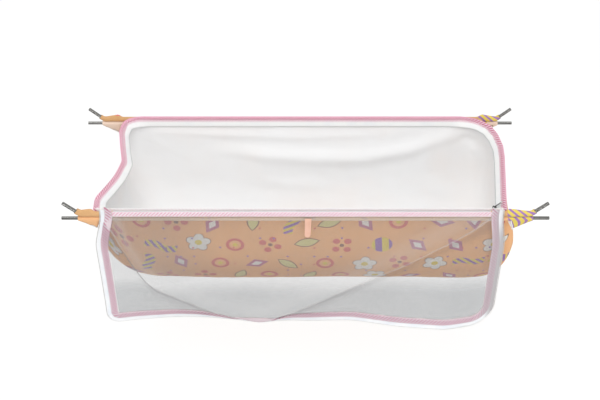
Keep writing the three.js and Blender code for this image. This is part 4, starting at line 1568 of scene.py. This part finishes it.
@dataclass
class RodSide:
    """One long side's rail, hanger rod and the two cloth sleeves round them."""

    name: str
    y: float
    slide: float
    pocket: str
    rod_radius: float = 0.004
    wall: float = 0.001
    rod_z: float = 0.0118
    rail_half: float = 0.540
    bend_start: float = 0.490
    bend_radius: float = 0.020
    bend_angle: float = math.radians(42)
    tip_length: float = 0.038
    sleeve_inner: float = 0.0044
    sleeve_outer: float = 0.0057
    upper_lobe: float = 0.009
    lower_lobe: float = 0.024
    lobe_length: float = 0.045
    lobe_limit: float = 0.450
    lobe_rises: tuple[float, float] = (0.012, 0.006)
    wrinkle: float = 0.0003
    wrinkle_length: float = 0.05
    wrinkle_seeds: tuple[int, int] = (11, 13)
    lobe_fill: float = 1.15
    bend_rings: int = 9
    casing_past: float = 0.004
    casing_step: float = 0.0045
    rod_step: float = 0.03
    lip: float = 0.0004
    sides: int = 28

    def ring(self, x: Grid, z: Grid, slope: Grid, radius: Grid, reach: Grid) -> Grid:
        """Rings round an axis in the plane of this side.

        Args:
            x: Place of each ring along X.
            z: Height of each ring's centre.
            slope: Slope of the axis at each ring.
            radius: Radius of each point, by ring and side.
            reach: Extra height of each point along the ring's upward direction.

        Returns:
            Rings of points whose outward side is the upper side of a sheet.
        """
        turn = ring_angles(self.sides)
        up = radius * np.sin(turn)[None] + reach
        across = radius * np.cos(turn)[None] + 0 * up
        x, z, slope = x[:, None], z[:, None], slope[:, None]
        along = x + self.slide - up * np.sin(slope)
        return np.stack([along, self.y + across, z + up * np.cos(slope)], axis=2)

    def round_ring(self, axis: Axis, radius: float) -> Grid:
        """Round rings of one radius about an axis."""
        return self.ring(*axis, np.full((len(axis[0]), 1), radius), 0.0)

    def bent_axis(self, past: float, step: float) -> Axis:
        """Stations of the hanger rod's axis.

        Args:
            past: Length beyond the bends.
            step: Distance between stations.

        Returns:
            X, height above the rod's line, and slope.
        """
        angle = self.bend_angle
        straight = np.linspace(0, self.bend_start, int(self.bend_start / step))
        turn = np.linspace(0, angle, self.bend_rings)[1:]
        tip = np.linspace(0, past, max(2, int(past / step)))[1:]
        bend_x = self.bend_start + self.bend_radius * np.sin(turn)
        bend_z = self.bend_radius * (1 - np.cos(turn))
        x = np.concatenate([straight, bend_x, bend_x[-1] + tip * math.cos(angle)])
        z = np.concatenate([0 * straight, bend_z, bend_z[-1] + tip * math.sin(angle)])
        slope = np.concatenate([0 * straight, turn, 0 * tip + angle])
        x, z, slope = (np.concatenate([s * part[:0:-1], part]) for s, part in ((-1, x), (1, z), (-1, slope)))
        return x, z + self.rod_z, slope

    def steel(self, steel: Material) -> None:
        """Makes the straight rail and the bent hanger rod."""
        x = np.linspace(-self.rail_half, self.rail_half, 30)
        x = np.sort(np.concatenate([x, [self.lip - self.rail_half, self.rail_half - self.lip]]))
        axes = {"rail": (x, 0 * x, 0 * x), "hanger_rod": self.bent_axis(self.tip_length, self.rod_step)}
        for kind, axis in axes.items():
            outer, inner = (self.round_ring(axis, self.rod_radius - cut) for cut in (0.0, self.wall))
            made = tube_object(f"steel_{self.name}_{kind}", outer, inner)
            set_piece(made, steel, Body.CRADLE, (f"{self.name}_{kind}",))

    def lobe(self, x: Grid, mouth: float, start: float, rise: float) -> Grid:
        """Height of a sleeve's lobe: full near its start, tapering to the mouth."""
        place = np.clip((mouth - np.abs(x)) / (mouth - start), 0, 1)
        return np.minimum(place * self.lobe_fill, 1) * smooth_step((np.abs(x) - start) / rise)

    def sleeve(
        self, name: str, axis: Axis, lift: Grid, seed: int, material: Material, node: str
    ) -> Object:
        """A wrinkled cloth sleeve round an axis.

        Args:
            name: Name of the piece.
            axis: X, height and slope of the axis.
            lift: Height of the lobes at each ring and side.
            seed: Seed of the wrinkles.
            material: Material of the cloth.
            node: Node that it replaces.

        Returns:
            The sleeve.
        """
        centre = self.round_ring(axis, self.sleeve_outer)
        wrinkle = self.wrinkle * (ripple(centre * [1, 2, 2], self.wrinkle_length, seed) + 1)
        outer = self.ring(*axis, self.sleeve_outer + wrinkle, lift)
        made = tube_object(name, outer, self.round_ring(axis, self.sleeve_inner))
        return set_piece(made, material, Body.CRADLE, (node,))

    def sleeves(self, upper: Material, lower: Material) -> None:
        """Makes the casing round the hanger rod and the pocket round the rail.

        Args:
            upper: Material of the casing.
            lower: Material of the pocket.
        """
        name, sine = self.name, np.sin(ring_angles(self.sides))[None]
        mouth = self.bend_start + self.bend_radius * math.sin(self.bend_angle)
        upper_rise, lower_rise = self.lobe_rises
        upper_seed, lower_seed = self.wrinkle_seeds
        axis = self.bent_axis(self.casing_past, self.casing_step)
        crest = self.lobe(axis[0] + self.slide, mouth + abs(self.slide), self.lobe_limit, upper_rise)
        lift = self.upper_lobe * crest[:, None] * np.maximum(0, sine) ** 2
        casing = self.sleeve(f"{name}_casing_cloth", axis, lift, upper_seed, upper, f"{name}_rod_casing")
        x = np.linspace(-mouth, mouth, 240)
        hang = self.lobe(x, mouth, mouth - self.lobe_length, lower_rise)
        lift = -self.lower_lobe * hang[:, None] * np.maximum(0, -sine)
        axis = (x, 0 * x, 0 * x)
        pocket = self.sleeve(f"{name}_pocket_cloth", axis, lift, lower_seed, lower, f"{name}_rail_pocket")


def strip_sheet(
    name: str, strip: Strip, width: float, thickness: float, wave: Grid | float = 0.0, low: float = 0.0
) -> Object:
    """A thin closed strip with rounded edges.

    Args:
        name: Name of the object.
        strip: Path of the strip.
        width: Width of the strip.
        thickness: Thickness at its middle.
        wave: Height of each station and column above the strip's plane.
        low: Distance across the path at which the strip starts.

    Returns:
        The object.
    """
    grid = strip.grid(low, width, STRIP_COLUMNS)
    share = np.linspace(-1, 1, STRIP_COLUMNS)
    half = thickness / 2 * (1 - STRIP_THINNING * np.abs(share) ** 3)[None, :, None]
    normal = grid_normals(grid)
    lift = np.broadcast_to(wave, grid.shape[:2])[..., None] * strip.normal[:, None]
    return sheet_object(name, grid + lift + normal * half, grid + lift - normal * half, cloth_uv(grid))


@dataclass
class RimTrim:
    """The overlocked edges, zip tape, coil and stops round the cradle's rim."""

    form: CradleForm = field(default_factory=CradleForm)
    seam_width: float = 0.0090
    back_width: float = 1.3
    bite_middle: float = -0.0004
    seam_thickness: float = 0.0016
    tape_width: float = 0.014
    tape_thickness: float = 0.0009
    coil_width: float = 0.0026
    gap: float = 0.0004
    pucker_pitch: float = 0.012
    pucker_height: float = 0.0005
    pucker_rise: float = 0.3
    pucker_wave: tuple[float, int] = (0.2, 21)
    front_steps: int = 200
    tape_low: float = -0.0028
    front_lean: float = math.radians(14)
    stop_bevel: float = 0.0002
    stitches: Wrap = Wrap(0.0020, 0.0080, 0.0019, 0.0040, 0.00066)
    bites: Wrap = Wrap(0.0014, 0.0056, 0.0010, 0.0025, 0.00036, ring_steps=8)
    teeth: Wrap = Wrap(0.0021, 0.0019, 0.0016, 0.0003, 0.00042, shades=2.0, ring_steps=8)

    def overlock(
        self, kind: str, strip: Strip, node: str, band: Material, thread: Material
    ) -> None:
        """Makes an overlocked edge: its band and the threads round it.

        Args:
            kind: First word of the pieces' names.
            strip: Path of the edge.
            node: Node that the band replaces.
            band: Material of the band.
            thread: Material of the threads.
        """
        made = strip_sheet(f"{kind}_seam_band", strip, self.seam_width, self.seam_thickness)
        set_piece(made, band, Body.CRADLE, (node,))
        wrap_piece(
            f"{kind}_seam_threads", strip, self.seam_width / 2, self.stitches, thread,
            Body.CRADLE,
        )

    def tape(self, tape: Strip, materials: Materials) -> None:
        """Makes the puckered tape, the stitches that catch its upper edge and the coil.

        Args:
            tape: Path of the tape.
            materials: Materials by the names of their finishes.
        """
        turns = TURN * path_lengths(tape.start) / self.pucker_pitch
        wave = np.sin(turns + 2 * ripple(tape.start, *self.pucker_wave))[:, None]
        lift = self.pucker_height * wave * np.linspace(self.pucker_rise, 1, STRIP_COLUMNS)[None]
        cloth = strip_sheet(
            "rim_zip_tape_cloth", tape, self.tape_width, self.tape_thickness, lift, self.tape_low
        )
        set_piece(cloth, materials["zip_tape"], Body.CRADLE, ("rim_zip_tape",))
        wrap_piece(
            "rim_tape_threads", tape, self.bite_middle, self.bites, materials["pink_thread"],
            Body.CRADLE,
        )
        middle = self.tape_width + self.gap + self.coil_width / 2
        wrap_piece(
            "rim_zip_teeth", tape, middle, self.teeth, materials["zip_coil"],
            Body.CRADLE, ("rim_zip_coil",),
        )

    def front(self) -> Strip:
        """Path of the straight seam on the front rim."""
        x = np.linspace(-self.form.half_length, self.form.half_length, self.front_steps)
        flat, ones = 0 * x, np.ones((self.front_steps, 1))
        y, z = self.seam_thickness / 2 - self.form.seam_y, self.form.rim_z + self.gap
        up, out = math.cos(self.front_lean), math.sin(self.front_lean)
        return Strip(np.stack([x, flat + y, flat + z], axis=1), ones * [0, out, up], ones * [0, up, -out])

    def build(self, materials: Materials) -> None:
        """Makes the trim.

        Args:
            materials: Materials by the names of their finishes.
        """
        rim = Rim(self.form)
        seam = rim.seam(self.back_width)
        self.overlock("rim", seam, "rim_seam_loop", materials["rim_band"], materials["pink_thread"])
        self.tape(rim.tape(), materials)
        front = self.front()
        self.overlock("front", front, "rim_seam_front", materials["zip_tape"], materials["white_thread"])
        for node in ("rim_stop_left", "rim_stop_right"):
            made = rounded_copy(node, node.replace("rim_stop", "zip_stop"), self.stop_bevel)
            set_piece(made, materials["zip_metal"], Body.CRADLE, (node,))


def rounded_copy(node: str, name: str, bevel: float) -> Object:
    """A node's own solid with its edges rounded.

    Args:
        node: The node.
        name: Name of the new object.
        bevel: Radius of the rounding.

    Returns:
        The object.
    """
    work = bmesh.new()
    work.from_mesh(frame["nodes"][node].data)
    bmesh.ops.remove_doubles(work, verts=work.verts, dist=1e-6)
    bmesh.ops.dissolve_limit(work, angle_limit=0.02, verts=work.verts, edges=work.edges)
    edges = list(work.edges)
    bmesh.ops.bevel(
        work, geom=edges, offset=bevel, segments=2, profile=0.5, affect="EDGES", clamp_overlap=True
    )
    bmesh.ops.triangulate(work, faces=work.faces)
    bmesh.ops.recalc_face_normals(work, faces=work.faces)
    mesh = bpy.data.meshes.new(name)
    work.to_mesh(mesh)
    work.free()
    return smooth_object(name, mesh)


@dataclass
class NetCover:
    """The net cover with its heading, hem, zip tape, coil and overlocked seam."""

    form: CoverForm = field(default_factory=CoverForm)
    trim: RimTrim = field(default_factory=RimTrim)
    net_thickness: float = 0.0008
    net_ripple: float = 0.0007
    net_wave: tuple[float, int] = (0.04, 31)
    pucker_wave: tuple[float, int] = (0.15, 23)
    net_steps: tuple[int, int] = (90, 240)
    hem_steps: tuple[int, int] = (160, 5)
    stitch_steps: int = 240
    tape_columns: int = 9
    seam_columns: int = 6
    heading_steps: tuple[int, int] = (16, 60)
    hem_thickness: float = 0.0016
    heading_centre: tuple[float, float] = (-0.188, 0.0118)
    heading_radius: float = 0.0065
    heading_angles: tuple[float, float] = (10.0, 140.0)
    gather_from: float = 0.170
    gather_reach: float = 0.070
    left_from: float = -0.180
    left_reach: float = 0.120
    left_share: float = 0.3
    ridge_width: float = 0.0032
    pleat: tuple[float, float] = (-0.035, 0.030)
    pleat_share: float = 0.35
    fold_shade: tuple[float, float] = (0.020, 0.016)
    hem_stitches: Wrap = Wrap(0.0020, 0.0122, 0.0005, 0.0061, 0.00050)
    edge_stitches: Wrap = Wrap(0.0021, 0.0148, 0.0018, 0.0074, 0.00064)

    def sheet(
        self, name: str, grid: Grid, thickness: float, material: Material, node: str,
        body: Body = Body.COVER,
    ) -> Object:
        """A closed sheet of even thickness about a grid, as a piece.

        Args:
            name: Name of the piece.
            grid: Points of its middle.
            thickness: Its thickness.
            material: Its material.
            node: Node that it replaces.
            body: Body that it moves with.

        Returns:
            The piece.
        """
        step = grid_normals(grid) * (thickness / 2)
        made = sheet_object(name, grid + step, grid - step, cloth_uv(grid))
        return set_piece(made, material, body, (node,))

    def mark_folds(self, net: Object, flat: Grid) -> None:
        """Writes on the net where it is doubled at the swag's edge, where it turns under, and where it hangs
        close low down and on the left; the material paints a highlight along the first and shade on the
        second, and the left part of the third is painted shade.

        Args:
            net: The net.
            flat: Places of its points on the flat cloth.
        """
        x, drop = flat[..., 0], flat[..., 1]
        past = self.form.past_fold(x, drop)
        low = smooth_step((drop - self.gather_from) / self.gather_reach)
        left = np.clip((self.left_from - x) / self.left_reach, 0, 1)
        shares = {
            "ridge": bell(past, 0.0, self.ridge_width) + self.pleat_share * bell(past, *self.pleat),
            "fold_shade": bell(past, *self.fold_shade),
            "gather_and_shade": np.maximum(low, self.left_share * left),
        }
        for name, values in shares.items():
            layer = net.data.attributes.new(name, "FLOAT", "POINT")
            layer.data.foreach_set("value", np.tile(values.astype(np.float32).ravel(), 2))

    def strip(self) -> Strip:
        """The cover's free edge as a strip whose start is the edge itself."""
        grid = self.form.strip_grid(0, self.form.net_edge, 2)
        across = grid[:, 1] - grid[:, 0]
        across /= np.linalg.norm(across, axis=1, keepdims=True)
        return Strip(grid[:, 0], across, grid_normals(grid)[:, 0])

    def hem(self, reach: float, materials: Materials) -> list[Object]:
        """Makes the hem along the hinge and the stitches over it.

        Args:
            reach: Half the length of the hem.
            materials: Materials by the names of their finishes.

        Returns:
            The hem and its stitches.
        """
        form = self.form
        along, down = self.hem_steps
        grid = form.points(np.linspace(-reach, reach, along)[None], np.linspace(0, form.hem, down)[:, None])
        hem = self.sheet(
            "hem_cloth", grid, self.hem_thickness / 2, materials["seam_band"], "cover_hem"
        )
        ones = np.ones((self.stitch_steps, 1))
        path = form.points(np.linspace(-reach, reach, self.stitch_steps), 0.0)
        top = Strip(path, ones * [0, 0, -1], ones * [0, -1, 0])
        stitches = wrap_piece(
            "cover_hem_threads", top, form.hem / 2, self.hem_stitches, materials["pale_thread"],
            Body.COVER,
        )
        return [hem, stitches]

    def edge(self, materials: Materials) -> list[Object]:
        """Makes the zip tape, the overlocked seam and the coil round the free edges.

        Args:
            materials: Materials by the names of their finishes.

        Returns:
            The tape, the seam's band, its threads and the teeth.
        """
        form, trim = self.form, self.trim
        grid = form.strip_grid(*form.tape_edges, self.tape_columns)
        slanted = lengths_along(grid, 0) + lengths_along(grid, 1)
        pucker = np.sin(TURN * slanted / trim.pucker_pitch + 2 * ripple(grid, *self.pucker_wave))
        grid = grid + grid_normals(grid) * (trim.pucker_height * pucker)[..., None]
        tape = self.sheet(
            "cover_tape_cloth", grid, trim.tape_thickness, materials["cover_tape"],
            "cover_zip_tape",
        )
        grid = form.strip_grid(*form.seam_edges, self.seam_columns)
        band = self.sheet(
            "cover_seam_band", grid, trim.seam_thickness, materials["shaded_cover_band"], "cover_seam"
        )
        strip = self.strip()
        threads = wrap_piece(
            "cover_seam_threads", strip, sum(form.seam_edges) / 2, self.edge_stitches,
            materials["shaded_cover_thread"], Body.COVER,
        )
        teeth = wrap_piece(
            "cover_zip_teeth", strip, form.coil_edge / 2, trim.teeth, materials["zip_coil"],
            Body.COVER, ("cover_zip_coil",),
        )
        return [tape, band, threads, teeth]

    def build(self, materials: Materials) -> None:
        """Makes the cover.

        Args:
            materials: Materials by the names of their finishes.
        """
        form = self.form
        grid, flat = form.net_grid(*self.net_steps)
        grid = grid + grid_normals(grid) * self.net_ripple * ripple(flat, *self.net_wave)[..., None]
        net = self.sheet("net_cloth", grid, self.net_thickness, materials["cover_net"], "net_panel")
        self.mark_folds(net, flat)
        reach = form.half - form.net_edge
        sewn_on = self.hem(reach, materials) + self.edge(materials)
        around, along = self.heading_steps
        turn = np.radians(np.linspace(*self.heading_angles, around))[:, None]
        x = np.linspace(-reach, reach, along)[None]
        y, z = self.heading_centre
        y, z = y - self.heading_radius * np.cos(turn), z + self.heading_radius * np.sin(turn)
        arc = np.stack(np.broadcast_arrays(x + form.tuck(x, 0.0 * x), y, z), axis=2)
        heading = self.sheet(
            "heading_net", arc, self.net_thickness, materials["heading_net"], "cover_heading",
            Body.CRADLE,
        )


@dataclass
class KeeperTab:
    """The folded keeper tab on the cover, rounded at its lower corners."""

    form: CoverForm = field(default_factory=CoverForm)
    width: float = 0.015
    length: float = 0.049
    thickness: float = 0.0022
    place: float = 0.018
    drop: float = 0.018
    clear: float = 0.0008
    taper: float = 0.1
    corner_from: float = 0.86
    corner_cut: float = 0.8
    drift: float = 0.0014
    lift: float = 0.0012
    thin_share: float = 0.15
    end_share: float = 0.04

    def build(self, cotton: Material) -> None:
        """Makes the tab.

        Args:
            cotton: Its material.
        """
        across = np.linspace(-0.5, 0.5, 9)[None]
        down = np.linspace(0, 1, 26)[:, None]
        shift = across * self.width * (1 - self.taper * down)
        corner = np.clip((down - self.corner_from) / (1 - self.corner_from), 0, 1)
        x = self.place + shift * np.sqrt(1 - self.corner_cut * corner**2) - self.drift * down**2
        base = self.form.points(x, self.drop + self.length * down + 0 * shift)
        normal = grid_normals(base)
        outside = normal * np.sign(-normal[..., 1:2])
        sides = np.sqrt(np.clip(1 - (2 * np.abs(across)) ** 6, 0, 1))
        ends = np.sqrt(np.clip(np.minimum(down, 1 - down) / self.end_share, 0, 1))
        half = self.thickness / 2 * (self.thin_share + (1 - self.thin_share) * sides * ends)
        middle = self.clear + self.thickness / 2 + self.lift * down**2
        low, high = (base + outside * (middle + sign * half)[..., None] for sign in (-1, 1))
        upper, lower = (high, low) if np.mean(np.sum(normal * outside, axis=2)) > 0 else (low, high)
        tab = sheet_object("tab_cloth", upper, lower, cloth_uv(base))
        set_piece(tab, cotton, Body.TAB, ("keeper_tab",))


@dataclass
class ZipFittings:
    """The slider and its pull, in the frame of their joints."""

    pull_length: float = 0.026
    pull_width: float = 0.005
    pull_thickness: float = 0.0014
    tail: float = 0.001
    lean: float = math.radians(45)
    rise: float = math.radians(5)
    slider_bevel: float = 0.0003
    corner_power: float = 0.6
    sides: int = 20
    outline: tuple = (
        (0, 0.6, 0.5), (0.02, 0.92, 0.9), (0.06, 1, 1), (0.14, 0.86, 0.9), (0.3, 0.62, 0.62),
        (0.5, 0.66, 0.6), (0.7, 0.8, 0.66), (0.85, 0.94, 0.8), (0.94, 0.92, 0.8), (0.985, 0.7, 0.7),
        (1, 0.3, 0.4),
    )

    def build(self, metal: Material, highlit: Material) -> None:
        """Makes the slider and the pull.

        Args:
            metal: Material of the slider.
            highlit: Material of the pull, with a painted highlight on its tip.
        """
        slider = rounded_copy("zip_slider", "slider_body", self.slider_bevel)
        set_piece(slider, metal, Body.SLIDER, ("zip_slider",))
        joints = {joint["name"]: joint for joint in frame["joints"]}
        hinge = np.array(joints["pull_swing"]["pos_m"], float)
        along = np.array(joints["zip_slide"]["axis"], float)
        outward, top = np.array([along[1], -along[0], 0]), np.array([0, 0, 1.0])
        up = top * math.cos(self.lean) - outward * math.sin(self.lean)
        away = outward * math.cos(self.lean) + top * math.sin(self.lean)
        way = away * math.cos(self.rise) + up * math.sin(self.rise)
        normal = np.cross(along, way)
        turn = ring_angles(self.sides)
        round_parts = np.cos(turn), np.sin(turn)
        flat, tall = (np.sign(part) * np.abs(part) ** self.corner_power for part in round_parts)
        rings = np.stack([
            hinge + way * (share * (self.pull_length + self.tail) - self.tail)
            + along[None] * (self.pull_width / 2 * width * flat)[:, None]
            + normal[None] * (self.pull_thickness / 2 * depth * tall)[:, None]
            for share, width, depth in self.outline
        ])
        set_piece(closed_object("pull_tab", rings), highlit, Body.PULL, ("zip_pull",))


@dataclass
class Studio:
    """The floor, the light and the camera."""

    floor_z: float = -0.62
    floor_half: float = 9.0
    floor_greys: tuple[float, float] = (0.8, 0.3)
    floor_glow: float = 0.8
    world_strength: float = 0.62
    lamps: tuple = (
        ("soft_lamp", (-0.1, -0.9, 2.2), 1.6, 28.0),
        ("front_lamp", (0.2, -2.5, 0.2), 2.2, 15.0),
    )
    lamp_target: tuple[float, float, float] = (0.0, 0.0, -0.1)
    camera_place: tuple[float, float, float] = (0.0, -1.6549, 1.2393)
    camera_pitch: float = math.radians(39)
    lens: float = 51.96
    sensor: float = 36.0

    def build(self) -> None:
        """Makes the whole studio."""
        self.floor()
        self.world()
        for lamp in self.lamps:
            self.lamp(*lamp)
        camera = bpy.data.cameras.new("photo_camera")
        camera.lens = self.lens
        camera.sensor_width = self.sensor
        holder = place_object("photo_camera", camera)
        holder.location = self.camera_place
        holder.rotation_euler = (math.pi / 2 - self.camera_pitch, 0, 0)
        bpy.context.scene.camera = holder
        bpy.context.scene.view_settings.view_transform = "Standard"

    @staticmethod
    def in_view(board: Board) -> Field:
        """1 for rays that reach the camera straight, by reflection or through the net."""
        path = board.node("ShaderNodeLightPath").outputs
        camera, glossy, passing = (
            Field(board, path[f"Is {kind} Ray"]) for kind in ("Camera", "Glossy", "Transmission")
        )
        return camera + glossy + passing

    def floor(self) -> None:
        """Makes the pale floor, which shows white but keeps the cradle's soft shadow."""
        half = self.floor_half
        mesh = bpy.data.meshes.new("floor")
        corners = [(x * half, y * half, self.floor_z) for x, y in ((-1, -1), (1, -1), (1, 1), (-1, 1))]
        mesh.from_pydata(corners, [], [(0, 1, 2, 3)])
        made = place_object("floor", mesh)
        board = Board("floor_paint")
        shade, dim = (
            board.node("ShaderNodeBsdfDiffuse", {"Color": (grey, grey, grey, 1.0)}).outputs[0]
            for grey in self.floor_greys
        )
        glow = board.node("ShaderNodeEmission", {"Strength": self.floor_glow}).outputs[0]
        shown = board.node("ShaderNodeAddShader", {0: dim, 1: glow}).outputs[0]
        mixed = board.node("ShaderNodeMixShader", {0: self.in_view(board), 1: shade, 2: shown}).outputs[0]
        board.node("ShaderNodeOutputMaterial", {"Surface": mixed})
        mesh.materials.append(board.owner)

    def world(self) -> None:
        """Makes the even world, which looks white and lights the cradle less than that."""
        board = Board("studio", bpy.data.worlds.new("studio"))
        lit, seen = (
            board.node("ShaderNodeBackground", {"Color": (1, 1, 1, 1), "Strength": strength}).outputs[0]
            for strength in (self.world_strength, 1.0)
        )
        mixed = board.node("ShaderNodeMixShader", {0: self.in_view(board), 1: lit, 2: seen}).outputs[0]
        board.node("ShaderNodeOutputWorld", {"Surface": mixed})
        bpy.context.scene.world = board.owner

    def lamp(self, name: str, place: tuple[float, float, float], size: float, power: float) -> None:
        """Makes a round soft lamp that faces the cradle."""
        lamp = bpy.data.lights.new(name, "AREA")
        lamp.shape, lamp.size = "DISK", size
        lamp.energy = power
        holder = place_object(name, lamp)
        holder.location = place
        x, y, z = np.array(self.lamp_target) - np.array(place)
        holder.rotation_euler = (math.atan2(math.hypot(x, y), -z), 0, math.atan2(y, x) - math.pi / 2)


def main() -> None:
    """Builds the cradle's classes in order."""
    logging.basicConfig(level=logging.INFO, format="%(message)s")
    materials = {finish.name: finish.material() for finish in FINISHES}
    form = CradleForm()
    ClothBody(form).build(materials)
    front = RodSide("front", -0.188, 0.012, "pocket_cotton")
    back = RodSide("back", 0.188, 0.0, "back_cotton")
    for side in (front, back):
        side.steel(materials["rod_steel"])
        side.sleeves(materials["sleeve_cotton"], materials[side.pocket])
    trim = RimTrim(form)
    trim.build(materials)
    NetCover(trim=trim).build(materials)
    KeeperTab().build(materials["tab_cotton"])
    ZipFittings().build(materials["zip_metal"], materials["pull_metal"])
    Studio().build()


if __name__ == "__main__":
    main()
